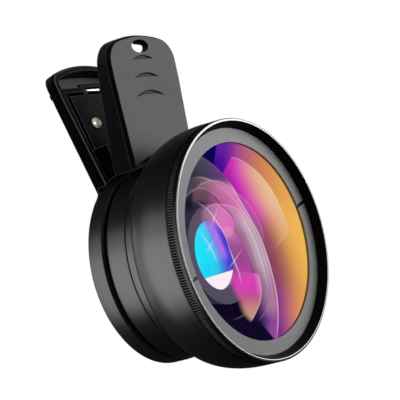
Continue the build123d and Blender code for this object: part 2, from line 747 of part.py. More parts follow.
# Wide barrel, which screws into the close-up barrel
shoulder_middle_radius = close_up_radius + cove_rise
shoulder_length = shoulder_reach + shoulder_overlap
shoulder_turn = math.degrees(math.asin(shoulder_reach / shoulder_length))
wide_profile = [(spigot_radius, barrel_end), (spigot_radius, spigot_front), (rim_wall_radius, spigot_front),
                (rim_wall_radius, front_thread_back), (front_bore_radius, front_thread_back),
                (front_bore_radius, front_seat), (front_lip_radius, front_seat),
                (front_lip_radius, front_lip_back), (inner_boss_radius, cone_back),
                (inner_boss_radius, inner_boss_front), (inner_bore_radius, inner_boss_front),
                (inner_bore_radius, inner_seat), (wide_aperture_radius, inner_seat),
                (wide_aperture_radius, rear_bore_end), (rear_bore_radius, rear_bore_end),
                (rear_bore_radius, wide_thread_back), (joint_thread_radius - thread_gap, wide_thread_back),
                (joint_thread_radius - thread_gap, wide_back), (close_up_radius, wide_back),
                (close_up_radius, cove_start)]
with BuildSketch(Plane.XY) as wide_half:
    with BuildLine():
        shoulder = EllipticalCenterArc((shoulder_middle_radius, -shoulder_end), wide_step - cove_rise,
                                       shoulder_length, start_angle=0, arc_size=shoulder_turn)
        TangentArc((close_up_radius, -cove_start), shoulder @ 1, tangent=(0, -1))
        Polyline(shoulder @ 0, (wide_radius, -barrel_end),
                 *[(radius, -forward) for radius, forward in wide_profile])
    make_face()
with BuildPart() as wide_barrel:
    add(revolve(wide_half.sketch, axis=Axis.Y, mode=Mode.PRIVATE))
save(wide_barrel.part, "wide_barrel")

# Knurled grip ring, pressed over the front of the barrel
grip_back = barrel_end + seat_gap
grip_bore = spigot_radius + seat_gap
rim_face_radius = wide_radius - rim_chamfer_width
knurl_inner = wide_radius - knurl_depth - knurl_root
with BuildPart() as grip_ring:
    with BuildSketch(forward_plane(grip_back)):
        with BuildLine():
            Polyline(*[((wide_radius - knurl_depth * (number % 2)) * math.cos(math.pi * number / knurl_teeth),
                        (wide_radius - knurl_depth * (number % 2)) * math.sin(math.pi * number / knurl_teeth))
                       for number in range(2 * knurl_teeth)], close=True)
        make_face()
        Circle(grip_bore, mode=Mode.SUBTRACT)
    extrude(amount=knurl_end - grip_back)
    # The inner wall of the rim opens out to a narrow polished edge
    add(revolve(half_section(
        (grip_bore, grip_back + knurl_root), (knurl_inner, grip_back + knurl_root), (knurl_inner, knurl_end),
        (wide_radius, knurl_end), (wide_radius, rim_front - rim_chamfer_depth),
        (rim_face_radius, rim_front), (rim_wall_radius, spigot_front + seat_gap),
        (grip_bore, spigot_front + seat_gap)),
        axis=Axis.Y, mode=Mode.PRIVATE))
save(grip_ring.part, "grip_ring")

# Front seal, front glass and the ring that holds it
with BuildPart() as front_seal:
    with BuildSketch(forward_plane(front_seat)):
        Circle(front_bore_radius - seat_gap)
        Circle(front_lip_radius + seal_margin, mode=Mode.SUBTRACT)
    extrude(amount=seal_section)
save(front_seal.part, "front_seal")

front_lens_back = front_seat + seal_section
front_lens_front = front_thread_back - seat_gap
with BuildPart() as front_lens:
    add(revolve(glass_section(
        front_bore_radius - running_gap, front_lens_back, front_lens_front,
        front_lip_radius - front_lens_rim, front_lens_hollow, front_ring_inner - seat_gap, front_lens_rise,
        front_lens_lift),
        axis=Axis.Y, mode=Mode.PRIVATE))
save(front_lens.part, "front_lens")

with BuildPart() as front_retaining_ring:
    add(revolve(half_section(
        (front_ring_inner, front_thread_back), (rim_wall_radius - thread_gap, front_thread_back),
        (rim_wall_radius - thread_gap, front_ring_face), (front_ring_inner, front_ring_face + front_ring_rise)),
        axis=Axis.Y, mode=Mode.PRIVATE))
    with BuildSketch(forward_plane(front_ring_face - spanner_slot_depth)):
        Rectangle(2 * rim_wall_radius, spanner_slot_width, rotation=spanner_slot_turn)
    extrude(amount=spanner_slot_depth + front_ring_rise, mode=Mode.SUBTRACT)
save(front_retaining_ring.part, "front_retaining_ring")

# Stepped light baffle on the barrel's inner cone
baffle_back = cone_back + seat_gap
baffle_inner = inner_boss_radius + seat_gap
baffle_outer = front_lip_radius - seat_gap
cone_slope = (front_lip_back - cone_back) / (front_lip_radius - inner_boss_radius)
cone_start = baffle_back + cone_slope * (baffle_inner - inner_boss_radius)
cone_end = baffle_back + cone_slope * (baffle_outer - inner_boss_radius)
step_width = (baffle_outer - baffle_wall - baffle_inner) / baffle_steps
step_height = (cone_end - cone_start) / baffle_steps
stairs = [(baffle_inner, cone_start + baffle_wall)]
for number in range(1, baffle_steps + 1):
    stairs.append((baffle_inner + number * step_width, stairs[-1][1]))
    stairs.append((baffle_inner + number * step_width, stairs[-1][1] + step_height))
with BuildPart() as light_baffle:
    add(revolve(half_section(
        (baffle_inner, cone_start), (baffle_outer, cone_end), (baffle_outer, stairs[-1][1]),
        *reversed(stairs)),
        axis=Axis.Y, mode=Mode.PRIVATE))
save(light_baffle.part, "light_baffle")

# Second, smaller glass and its ring
inner_lens_back = inner_seat + seat_gap
inner_lens_front = inner_lens_back + inner_lens_edge
with BuildPart() as inner_lens:
    add(revolve(glass_section(
        inner_bore_radius - running_gap, inner_lens_back, inner_lens_front,
        wide_aperture_radius - glass_rim, inner_lens_hollow, inner_ring_inner, inner_lens_rise),
        axis=Axis.Y, mode=Mode.PRIVATE))
save(inner_lens.part, "inner_lens")

inner_ring_back = inner_lens_front + seat_gap
with BuildPart() as inner_retaining_ring:
    add(revolve(half_section(
        (inner_ring_inner, inner_ring_back), (inner_bore_radius - seat_gap, inner_ring_back),
        (inner_bore_radius - seat_gap, inner_ring_back + inner_ring_depth),
        (inner_ring_inner + inner_ring_bevel, inner_ring_back + inner_ring_depth)),
        axis=Axis.Y, mode=Mode.PRIVATE))
    with BuildSketch(forward_plane(inner_ring_back + inner_ring_depth)):
        Rectangle(2 * inner_bore_radius, spanner_slot_width)
    extrude(amount=-inner_ring_depth / 2, mode=Mode.SUBTRACT)
save(inner_retaining_ring.part, "inner_retaining_ring")
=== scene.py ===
import json
import math

import bmesh
import bpy
import numpy as np
from mathutils import Matrix, Vector

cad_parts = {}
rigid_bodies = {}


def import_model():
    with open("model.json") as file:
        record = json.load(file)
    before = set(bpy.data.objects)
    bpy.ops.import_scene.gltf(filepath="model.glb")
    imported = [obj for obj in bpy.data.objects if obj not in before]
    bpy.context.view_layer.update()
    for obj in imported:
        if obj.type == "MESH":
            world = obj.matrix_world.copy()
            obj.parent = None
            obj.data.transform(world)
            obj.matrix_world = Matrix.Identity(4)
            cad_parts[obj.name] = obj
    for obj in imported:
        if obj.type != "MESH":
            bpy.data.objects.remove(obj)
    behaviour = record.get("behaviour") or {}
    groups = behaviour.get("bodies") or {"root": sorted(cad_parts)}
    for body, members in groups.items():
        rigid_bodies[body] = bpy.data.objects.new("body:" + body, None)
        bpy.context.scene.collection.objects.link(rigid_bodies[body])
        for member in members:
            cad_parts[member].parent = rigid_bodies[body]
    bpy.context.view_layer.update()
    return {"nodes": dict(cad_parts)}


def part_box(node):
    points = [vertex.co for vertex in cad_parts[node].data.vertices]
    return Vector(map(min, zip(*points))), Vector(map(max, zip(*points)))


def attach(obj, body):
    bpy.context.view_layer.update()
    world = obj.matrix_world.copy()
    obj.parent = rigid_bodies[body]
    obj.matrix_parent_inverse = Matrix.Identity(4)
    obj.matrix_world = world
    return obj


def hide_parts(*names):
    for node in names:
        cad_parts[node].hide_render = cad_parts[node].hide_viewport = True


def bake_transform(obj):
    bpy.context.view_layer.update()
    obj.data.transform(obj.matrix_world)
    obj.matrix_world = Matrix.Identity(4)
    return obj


# Clip on phone lens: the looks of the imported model.
# Profiles are written in millimetres as (radius, distance forward) about the optical axis,
# which is the Y axis, with forward along -Y. Everything in Blender is in metres.

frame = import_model()
nodes = frame["nodes"]

# A millimetre in metres, and what turns (x, forward, z) into (x, y, z) and back
MM = 0.001
MIRROR_Y = np.array([1.0, -1.0, 1.0])

# The clip's pin, and the rear handle's own directions: out of its pocket, and up its length
PIN = Vector((0, -1.7, 21.5))
REAR_LEAN = math.radians(16)
AHEAD = Vector((0, -math.cos(REAR_LEAN), math.sin(REAR_LEAN)))
ALONG = Vector((0, math.sin(REAR_LEAN), math.cos(REAR_LEAN)))

# The photo's axes, how far away its camera is in mm, and where things fall on a picture PICTURE wide
SIDE = (0.59815689, -0.77291058, -0.21170161)
UP = (0.08225088, -0.20356463, 0.97560045)
BACK = (-0.79714686, -0.60097478, -0.05819101)
CAMERA_AWAY = 736.0
PICTURE, FOCAL = 400, 3600.0
RING_SEEN_AT = (151.0, 266.7)


# Camera
def look_from_the_photo():
    """Long lens, CAMERA_AWAY from the clip ring, turned so that the ring falls at RING_SEEN_AT."""
    side, up, back = Vector(SIDE), Vector(UP), Vector(BACK)
    right, down = (place - PICTURE / 2 for place in RING_SEEN_AT)
    aim = side * (-right / FOCAL) + up * (down / FOCAL) - back
    z_axis = -aim.normalized()
    x_axis = (side - z_axis * side.dot(z_axis)).normalized()
    y_axis = z_axis.cross(x_axis)
    lens = bpy.data.cameras.new("photo_view")
    lens.sensor_width = 36.0
    lens.lens = lens.sensor_width * FOCAL / PICTURE
    lens.clip_start, lens.clip_end = 0.05, 20.0
    camera = bpy.data.objects.new("photo_view", lens)
    bpy.context.scene.collection.objects.link(camera)
    turn = Matrix((x_axis, y_axis, z_axis)).transposed()
    camera.matrix_world = Matrix.Translation(back * CAMERA_AWAY * MM) @ turn.to_4x4()
    bpy.context.scene.camera = camera


look_from_the_photo()
bpy.context.scene.view_settings.view_transform = "Standard"


# Colours
def linear(red, green, blue):
    """A screen colour, 0 to 255, as scene light: each part over 255, to the power 2.2."""
    return tuple((c / 255.0) ** 2.2 for c in (red, green, blue))


def light_of(colour):
    """A screen colour as an array of scene light; an array is passed on as it is."""
    return np.array(linear(*colour)) if isinstance(colour, tuple) else colour


# Shared effects
def new_group(name, inputs, outputs):
    """A shader node group with named float inputs and outputs."""
    group = bpy.data.node_groups.new(name, "ShaderNodeTree")
    for label, default in inputs:
        socket = group.interface.new_socket(name=label, in_out="INPUT", socket_type="NodeSocketFloat")
        socket.default_value = default
    for label in outputs:
        group.interface.new_socket(name=label, in_out="OUTPUT", socket_type="NodeSocketFloat")
    return group, group.nodes.new("NodeGroupInput"), group.nodes.new("NodeGroupOutput")


def math_node(tree, kind, first, second=0.0):
    """One math node, whose inputs are numbers or sockets. Some kinds have no use for the second."""
    node = tree.nodes.new("ShaderNodeMath")
    node.operation = kind
    for place, value in enumerate((first, second)):
        if isinstance(value, (int, float)):
            node.inputs[place].default_value = value
        else:
            tree.links.new(value, node.inputs[place])
    return node.outputs[0]


def times(tree, first, second):
    """The product of two numbers or sockets."""
    return math_node(tree, "MULTIPLY", first, second)


def noise_node(tree, vector, scale, detail=3.0, rough=0.5):
    """Noise read at a place, finer as the scale, a number or a socket, grows."""
    node = tree.nodes.new("ShaderNodeTexNoise")
    node.inputs["Detail"].default_value = detail
    node.inputs["Roughness"].default_value = rough
    tree.links.new(vector, node.inputs["Vector"])
    if isinstance(scale, (int, float)):
        node.inputs["Scale"].default_value = scale
    else:
        tree.links.new(scale, node.inputs["Scale"])
    return node.outputs["Fac"]


def make_moulded_grain():
    """Spark-eroded mould grain: two sizes of noise added, and a slow cloud for handling marks."""
    group, given, result = new_group("moulded_grain", [("Size", 5200.0)], ["Height", "Cloud"])
    place = group.nodes.new("ShaderNodeTexCoord").outputs["Object"]
    fine = noise_node(group, place, given.outputs["Size"], 4.0, 0.6)
    coarse = noise_node(group, place, times(group, given.outputs["Size"], 0.33), 2.0)
    fine, coarse = times(group, fine, 0.65), times(group, coarse, 0.35)
    group.links.new(math_node(group, "ADD", fine, coarse), result.inputs["Height"])
    group.links.new(noise_node(group, place, 95.0, 3.0, 0.55), result.inputs["Cloud"])
    return group


def make_turned_lines():
    """Lathe lines: noise read along the distance from the optical axis, so it makes rings."""
    group, given, result = new_group("turned_lines", [("Lines", 2600.0)], ["Height", "Sweep"])
    place = group.nodes.new("ShaderNodeTexCoord").outputs["Object"]
    parts = group.nodes.new("ShaderNodeSeparateXYZ")
    group.links.new(place, parts.inputs[0])
    across = times(group, parts.outputs["X"], parts.outputs["X"])
    above = times(group, parts.outputs["Z"], parts.outputs["Z"])
    radius = math_node(group, "SQRT", math_node(group, "ADD", across, above))
    angle = math_node(group, "ARCTAN2", parts.outputs["Z"], parts.outputs["X"])
    key = group.nodes.new("ShaderNodeCombineXYZ")
    group.links.new(radius, key.inputs["X"])
    group.links.new(parts.outputs["Y"], key.inputs["Y"])
    group.links.new(times(group, angle, 0.00035), key.inputs["Z"])
    group.links.new(noise_node(group, key.outputs[0], given.outputs["Lines"], 5.0, 0.7), result.inputs["Height"])
    group.links.new(noise_node(group, key.outputs[0], 420.0, 3.0, 0.6), result.inputs["Sweep"])
    return group


def make_dust():
    """Sparse specks: a fine noise, of which only what stands over a threshold stays.

    The threshold is 0.98 less 0.45 times a slow noise, so specks gather in patches. What is
    over it is multiplied by 12 and by Amount.
    """
    group, given, result = new_group("dust", [("Amount", 0.3)], ["Mask"])
    place = group.nodes.new("ShaderNodeTexCoord").outputs["Object"]
    specks = noise_node(group, place, 2300.0, 1.0, 0.4)
    patches = noise_node(group, place, 160.0, 2.0, 0.5)
    threshold = math_node(group, "SUBTRACT", 0.98, times(group, patches, 0.45))
    peak = math_node(group, "MAXIMUM", math_node(group, "SUBTRACT", specks, threshold), 0.0)
    mask = times(group, peak, times(group, given.outputs["Amount"], 12.0))
    group.links.new(math_node(group, "MINIMUM", mask, 1.0), result.inputs["Mask"])
    return group


def make_hollows_and_edges():
    """Two masks: Open is low in hollows and grooves, Line is high along sharp edges.

    Open is how much sky a point sees within Reach, to the power 2.2. Line is 6 times how far the
    cosine between the normal of an edge rounded by Ease and the true one is under 0.98, times
    Open.
    """
    group, given, result = new_group("hollows_and_edges", [("Ease", 0.00016), ("Reach", 0.0007)], ["Open", "Line"])
    hollow = group.nodes.new("ShaderNodeAmbientOcclusion")
    hollow.samples = 6
    group.links.new(given.outputs["Reach"], hollow.inputs["Distance"])
    open_sky = math_node(group, "POWER", hollow.outputs["AO"], 2.2)
    bevel = group.nodes.new("ShaderNodeBevel")
    bevel.samples = 6
    group.links.new(given.outputs["Ease"], bevel.inputs["Radius"])
    turn = group.nodes.new("ShaderNodeVectorMath")
    turn.operation = "DOT_PRODUCT"
    group.links.new(bevel.outputs["Normal"], turn.inputs[0])
    group.links.new(group.nodes.new("ShaderNodeNewGeometry").outputs["Normal"], turn.inputs[1])
    bend = times(group, math_node(group, "SUBTRACT", 0.98, turn.outputs["Value"]), 6.0)
    bend = math_node(group, "MINIMUM", math_node(group, "MAXIMUM", bend, 0.0), 1.0)
    group.links.new(open_sky, result.inputs["Open"])
    group.links.new(times(group, bend, open_sky), result.inputs["Line"])
    return group


moulded_grain, turned_lines, dust = make_moulded_grain(), make_turned_lines(), make_dust()
hollows_and_edges = make_hollows_and_edges()


# Finishes
finishes = {}


def start_material(name):
    """A new material, kept under its name, with its node tree and its main shader."""
    material = bpy.data.materials.new(name)
    material.use_nodes = True
    finishes[name] = material
    return parts_of(name)


def parts_of(name):
    """The node tree and the main shader of a finish that is already made."""
    tree = finishes[name].node_tree
    return tree, tree.nodes["Principled BSDF"]


def settle(shader, **values):
    """Plain values for a shader's inputs, each named with _ for its spaces."""
    for label, value in values.items():
        shader.inputs[label.replace("_", " ")].default_value = value


def place_group(tree, group, **values):
    """A shared effect in a material, with its inputs set."""
    node = tree.nodes.new("ShaderNodeGroup")
    node.node_tree = group
    for label, value in values.items():
        node.inputs[label].default_value = value
    return node


def spread(tree, value, low, high):
    """A mask from 0 to 1 as a value between low and high."""
    node = tree.nodes.new("ShaderNodeMapRange")
    node.inputs["To Min"].default_value = low
    node.inputs["To Max"].default_value = high
    tree.links.new(value, node.inputs["Value"])
    return node.outputs["Result"]


def mixed_colour(tree, factor, first, second):
    """Two colours or sockets, mixed by a factor."""
    node = tree.nodes.new("ShaderNodeMix")
    node.data_type = "RGBA"
    tree.links.new(factor, node.inputs["Factor"])
    for socket, colour in ((node.inputs["A"], first), (node.inputs["B"], second)):
        if isinstance(colour, tuple):
            socket.default_value = (*colour, 1.0)
        else:
            tree.links.new(colour, socket)
    return node.outputs["Result"]


def lay_colour(tree, shader, label, mask, colour):
    """Lays a colour over what already feeds an input, where a mask is 1."""
    fed = shader.inputs[label].links[0].from_socket
    tree.links.new(mixed_colour(tree, mask, fed, colour), shader.inputs[label])


def add_bump(tree, shader, height, depth):
    """Relief whose full height is depth metres."""
    node = tree.nodes.new("ShaderNodeBump")
    node.inputs["Strength"].default_value = 1.0
    node.inputs["Distance"].default_value = depth
    tree.links.new(height, node.inputs["Height"])
    tree.links.new(node.outputs["Normal"], shader.inputs["Normal"])


def moulded_finish(name, colour, pale, rough, grain_size, grain_depth, specular, dusty, metallic=0.0):
    """Moulded plastic, rubber or plated metal: fine grain, slow clouds in colour and gloss, dust."""
    tree, shader = start_material(name)
    grain = place_group(tree, moulded_grain, Size=grain_size)
    base = mixed_colour(tree, grain.outputs["Cloud"], colour, pale)
    if dusty:
        specks = place_group(tree, dust, Amount=dusty)
        base = mixed_colour(tree, specks.outputs["Mask"], base, (0.2, 0.2, 0.19))
    tree.links.new(base, shader.inputs["Base Color"])
    tree.links.new(spread(tree, grain.outputs["Cloud"], rough[0], rough[1]), shader.inputs["Roughness"])
    settle(shader, Specular_IOR_Level=specular, Metallic=metallic)
    add_bump(tree, shader, grain.outputs["Height"], grain_depth)


def paint_hollow_shade_and_edge_highlights(name, painted_edge_highlight, ease, reach):
    """Paints shade into hollows, darker and duller, and paints a thin highlight along sharp edges as glow, on a
    moulded finish.

    ease is how far an edge is rounded and reach how deep a hollow counts, both in mm.
    """
    tree, shader = parts_of(name)
    masks = place_group(tree, hollows_and_edges, Ease=ease * MM, Reach=reach * MM)
    base = shader.inputs["Base Color"].links[0].from_socket
    # Painted shade: hollows and grooves turn near black
    dark = mixed_colour(tree, masks.outputs["Open"], (0.002, 0.002, 0.002), base)
    tree.links.new(dark, shader.inputs["Base Color"])
    rough = shader.inputs["Roughness"].links[0].from_socket
    gloss = times(tree, masks.outputs["Open"], math_node(tree, "SUBTRACT", 1.0, rough))
    tree.links.new(math_node(tree, "SUBTRACT", 1.0, gloss), shader.inputs["Roughness"])
    settle(shader, Emission_Strength=1.0)
    # Painted highlight: sharp edges glow faintly
    lit = mixed_colour(tree, masks.outputs["Line"], (0.0, 0.0, 0.0), painted_edge_highlight)
    tree.links.new(lit, shader.inputs["Emission Color"])


def reading(tree, source, direction, shift=0.0):
    """How far a place or normal reaches along a direction, less a shift."""
    node = tree.nodes.new("ShaderNodeVectorMath")
    node.operation = "DOT_PRODUCT"
    node.inputs[1].default_value = direction
    tree.links.new(source, node.inputs[0])
    return math_node(tree, "SUBTRACT", node.outputs["Value"], shift)


def between(tree, value, low, high):
    """1 where a value lies between two numbers, and 0 elsewhere."""
    above, below = math_node(tree, "GREATER_THAN", value, low), math_node(tree, "LESS_THAN", value, high)
    return times(tree, above, below)


def turned_finish(name, colour, pale, rough, metallic, lines, line_depth, specular, blasted):
    """Turned metal: lathe lines round the axis, and a fine blasted grain where it is anodised."""
    tree, shader = start_material(name)
    cuts = place_group(tree, turned_lines, Lines=lines)
    tree.links.new(mixed_colour(tree, cuts.outputs["Sweep"], colour, pale), shader.inputs["Base Color"])
    tree.links.new(spread(tree, cuts.outputs["Sweep"], rough[0], rough[1]), shader.inputs["Roughness"])
    settle(shader, Specular_IOR_Level=specular, Metallic=metallic)
    height = cuts.outputs["Height"]
    if blasted:
        grain = place_group(tree, moulded_grain, Size=7800.0)
        sharp, soft = times(tree, height, 1.0 - blasted), times(tree, grain.outputs["Height"], blasted)
        height = math_node(tree, "ADD", sharp, soft)
    add_bump(tree, shader, height, line_depth)


# Moulded: colour, paler colour, roughness, grain size and depth, specular, dust and metallic
for name, values in {
    "handle_black": ((0.018, 0.018, 0.019), (0.025, 0.025, 0.026), (0.44, 0.54), 4300.0, 18e-6, 0.5, 0.1),
    "rear_handle_black": ((0.012, 0.012, 0.013), (0.018, 0.018, 0.019), (0.72, 0.82), 4300.0, 18e-6, 0.12, 0.1),
    "ring_plastic": ((0.006, 0.006, 0.007), (0.009, 0.009, 0.010), (0.32, 0.38), 6800.0, 6e-6, 0.7, 0.1),
    "tray_black": ((0.0025, 0.0025, 0.003), (0.004, 0.004, 0.005), (0.45, 0.55), 5200.0, 8e-6, 0.06, 0.2),
    "pad_rubber": ((0.018, 0.018, 0.019), (0.028, 0.028, 0.028), (0.66, 0.82), 3000.0, 30e-6, 0.3, 0.2),
    "screw_nickel": ((0.84, 0.77, 0.60), (0.94, 0.88, 0.72), (0.26, 0.36), 5000.0, 3e-6, 0.9, 0.0, 0.35),
    "spring_wire": ((0.70, 0.69, 0.66), (0.80, 0.79, 0.76), (0.16, 0.28), 6000.0, 3e-6, 0.5, 0.0, 1.0),
    "pin_steel": ((0.5, 0.5, 0.5), (0.6, 0.6, 0.6), (0.22, 0.34), 6000.0, 3e-6, 0.5, 0.0, 1.0),
}.items():
    moulded_finish(name, *values)

# Turned: colour, paler colour, roughness, metallic, lines and their depth, specular and blasted share
for name, values in {
    "barrel_black": ((0.004, 0.004, 0.005), (0.007, 0.007, 0.008), (0.29, 0.37), 0.0, 900.0, 7e-6, 0.75, 0.8),
    "knurl_black": ((0.001, 0.001, 0.001), (0.003, 0.003, 0.003), (0.8, 0.9), 0.0, 1600.0, 4e-6, 0.05, 0.3),
    "knurl_crest": ((0.002, 0.002, 0.003), (0.005, 0.005, 0.006), (0.3, 0.38), 0.0, 1600.0, 4e-6, 0.32, 0.3),
    "rim_inside": ((0.003, 0.003, 0.003), (0.006, 0.006, 0.006), (0.5, 0.6), 0.0, 1600.0, 4e-6, 0.2, 0.3),
    "bare_edge": ((0.36, 0.36, 0.37), (0.46, 0.46, 0.47), (0.26, 0.36), 1.0, 2600.0, 3e-6, 0.5, 0.0),
    "ring_grey": ((0.135, 0.135, 0.135), (0.18, 0.18, 0.18), (0.42, 0.52), 0.6, 3400.0, 6e-6, 0.5, 0.25),
    "inner_black": ((0.004, 0.003, 0.012), (0.010, 0.008, 0.024), (0.45, 0.6), 0.0, 2400.0, 10e-6, 0.3, 0.0),
    "boss_grey": (linear(44, 48, 58), linear(60, 64, 74), (0.45, 0.6), 0.0, 2400.0, 10e-6, 0.5, 0.0),
}.items():
    turned_finish(name, *values)

# Painted shade in hollows and painted highlights glowing along sharp edges, on the handles and the tray
paint_hollow_shade_and_edge_highlights("handle_black", (0.05, 0.05, 0.05), 0.16, 1.1)
paint_hollow_shade_and_edge_highlights("rear_handle_black", (0.09, 0.09, 0.088), 0.16, 0.7)
paint_hollow_shade_and_edge_highlights("tray_black", (0.09, 0.09, 0.088), 0.14, 0.5)
# Painted light: the boss grey also glows, as if lit through the front glass
settle(parts_of("boss_grey")[1], Emission_Color=(*linear(84, 90, 108), 1.0), Emission_Strength=0.6)


# Surfaces
def rounded(points, radius, steps=5):
    """A closed profile with its corners eased.

    Each corner is replaced by a quadratic curve that starts and ends a radius away from it,
    or less on a short side, with the corner as its control point.
    """
    p = np.array(points, float)
    before, after = np.roll(p, 1, 0) - p, np.roll(p, -1, 0) - p
    length_before = np.linalg.norm(before, axis=1, keepdims=True)
    length_after = np.linalg.norm(after, axis=1, keepdims=True)
    reach_before = np.minimum(radius, 0.45 * length_before)
    reach_after = np.minimum(radius, 0.45 * length_after)
    start = p + before / length_before * reach_before
    end = p + after / length_after * reach_after
    t = np.linspace(0, 1, steps)[None, :, None]
    curve = (1 - t) ** 2 * start[:, None] + 2 * t * (1 - t) * p[:, None] + t**2 * end[:, None]
    return curve.reshape(-1, 2)


def arc_points(centre, reach_radius, reach_forward, start, stop, steps):
    """Points of an ellipse arc, in (radius, forward), between two angles in degrees."""
    a = np.radians(np.linspace(start, stop, steps))
    return np.stack([centre[0] + reach_radius * np.cos(a), centre[1] + reach_forward * np.sin(a)], 1)


def cap_height(r, reach, rise):
    """A spherical cap's height above its rim at radius r, where the cap is reach wide and rise high.

    The ball's radius is (reach squared plus rise squared) over twice the rise.
    """
    ball = (reach**2 + rise**2) / (2 * rise)
    return np.sqrt(ball**2 - r**2) - math.sqrt(ball**2 - reach**2)


def points_of(piece):
    """The places of a piece's points, as x, forward and z in mm."""
    points = np.empty(len(piece.data.vertices) * 3, np.float32)
    piece.data.vertices.foreach_get("co", points)
    return points.reshape(-1, 3).astype(float) / MM * MIRROR_Y


def place_points(piece, places):
    """Puts a piece's points at places given as x, y and z in mm."""
    piece.data.vertices.foreach_set("co", (places * MM).astype(np.float32).ravel())
    piece.data.update()


def mesh_of(name, verts, faces, finish_names, body, stands_for=()):
    """A finished piece: its mesh in metres, its finishes, its body and the nodes it stands for."""
    mesh = bpy.data.meshes.new(name)
    mesh.from_pydata(verts.tolist(), [], faces)
    mesh.update()
    mesh.shade_smooth()
    mesh.set_sharp_from_angle(angle=math.radians(35))
    piece = bpy.data.objects.new(name, mesh)
    bpy.context.scene.collection.objects.link(piece)
    for finish in finish_names:
        mesh.materials.append(finishes[finish])
    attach(piece, body)
    if stands_for:
        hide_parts(*stands_for)
    return piece


def carried_round(a, r, f):
    """Points at angles a, radii r and distances f forward: (r cos a, -f, r sin a) in mm."""
    return np.stack([r * np.cos(a), -f + 0 * a, r * np.sin(a)], -1).reshape(-1, 3)


def grid_faces(around, along, closed=True):
    """Quads of a grid that closes around the axis and, where closed, along the profile too."""
    i, j = np.meshgrid(np.arange(around), np.arange(along if closed else along - 1), indexing="ij")
    k, m = (i + 1) % around, (j + 1) % along
    quads = np.stack([i * along + j, k * along + j, k * along + m, i * along + m], -1)
    return quads.reshape(-1, 4)


def turned(name, profile, around, finish_names, body, stands_for=(), wave=None):
    """A closed profile carried round the optical axis.

    Point j of the profile at angle a lies at (r cos a, -forward, r sin a). With a wave, r
    changes by wave(a, r, forward). The profile is put clockwise or not by the sign of its
    area, so that faces point outwards.
    """
    p = np.array(profile, float)
    area = np.sum(p[:, 0] * np.roll(p[:, 1], -1) - np.roll(p[:, 0], -1) * p[:, 1])
    if area < 0:
        p = p[::-1]
    a = np.linspace(0, 2 * math.pi, around, endpoint=False)[:, None]
    r = np.repeat(p[None, :, 0], around, 0)
    f = np.repeat(p[None, :, 1], around, 0)
    if wave is not None:
        r = r + wave(a, r, f)
    faces = grid_faces(around, len(p)).tolist()
    return mesh_of(name, carried_round(a, r, f) * MM, faces, finish_names, body, stands_for)


def crowned(name, rings, around, finish_names, body, stands_for=()):
    """A round glass: an open profile from pole to pole, carried round the axis, its poles closed by fans.

    rings starts and ends on the axis, front pole first. Each ring between them is a circle of
    points, and each pole is one point.
    """
    p = np.array(rings, float)
    inner = p[1:-1]
    a = np.linspace(0, 2 * math.pi, around, endpoint=False)[:, None]
    side = carried_round(a, inner[None, :, 0], inner[None, :, 1])
    poles = np.array([[0, -p[0, 1], 0], [0, -p[-1, 1], 0]])
    verts = np.concatenate([side, poles]) * MM
    along = len(inner)
    quads = grid_faces(around, along, closed=False)
    n = np.arange(around)
    m = (n + 1) % around
    front = np.stack([n * along, np.full(around, len(side)), m * along], -1)
    back = np.stack([m * along + along - 1, np.full(around, len(side) + 1), n * along + along - 1], -1)
    faces = quads[:, ::-1].tolist() + front[:, ::-1].tolist() + back[:, ::-1].tolist()
    return mesh_of(name, verts, faces, finish_names, body, stands_for)


# Barrel pieces
def make_wide_barrel():
    """The large barrel: band, hollow cove, elliptic shoulder and straight front, and its bores."""
    band = rounded([(15.7, 9.8), (20.0, 9.8), (20.0, 11.5), (15.7, 11.5)], 0.14, 5)[5:10]
    cove = arc_points((21.4, 11.5), 1.4, 1.4, 180, 105.3, 14)
    shoulder = arc_points((21.4, 22.3), 3.6, 9.5, -84.1, 0, 60)
    straight = np.linspace((25.0, 22.3), (25.0, 24.2), 8)[1:]
    front = rounded([(25.0, 24.3), (24.0, 24.3), (24.0, 25.1), (23.37, 25.1), (23.37, 23.25), (23.0, 23.25),
                     (23.0, 16.0), (19.6, 16.0), (19.6, 15.1), (10.4, 13.0), (7.4, 12.9), (7.4, 11.2),
                     (15.7, 11.2), (15.7, 6.6), (17.92, 6.6), (17.92, 9.8)], 0.06, 3)
    profile = np.concatenate([band, cove, shoulder, straight, front])
    turned("wide_barrel_turned", profile, 420, ["barrel_black"], "wide_unit", ["wide_barrel"])


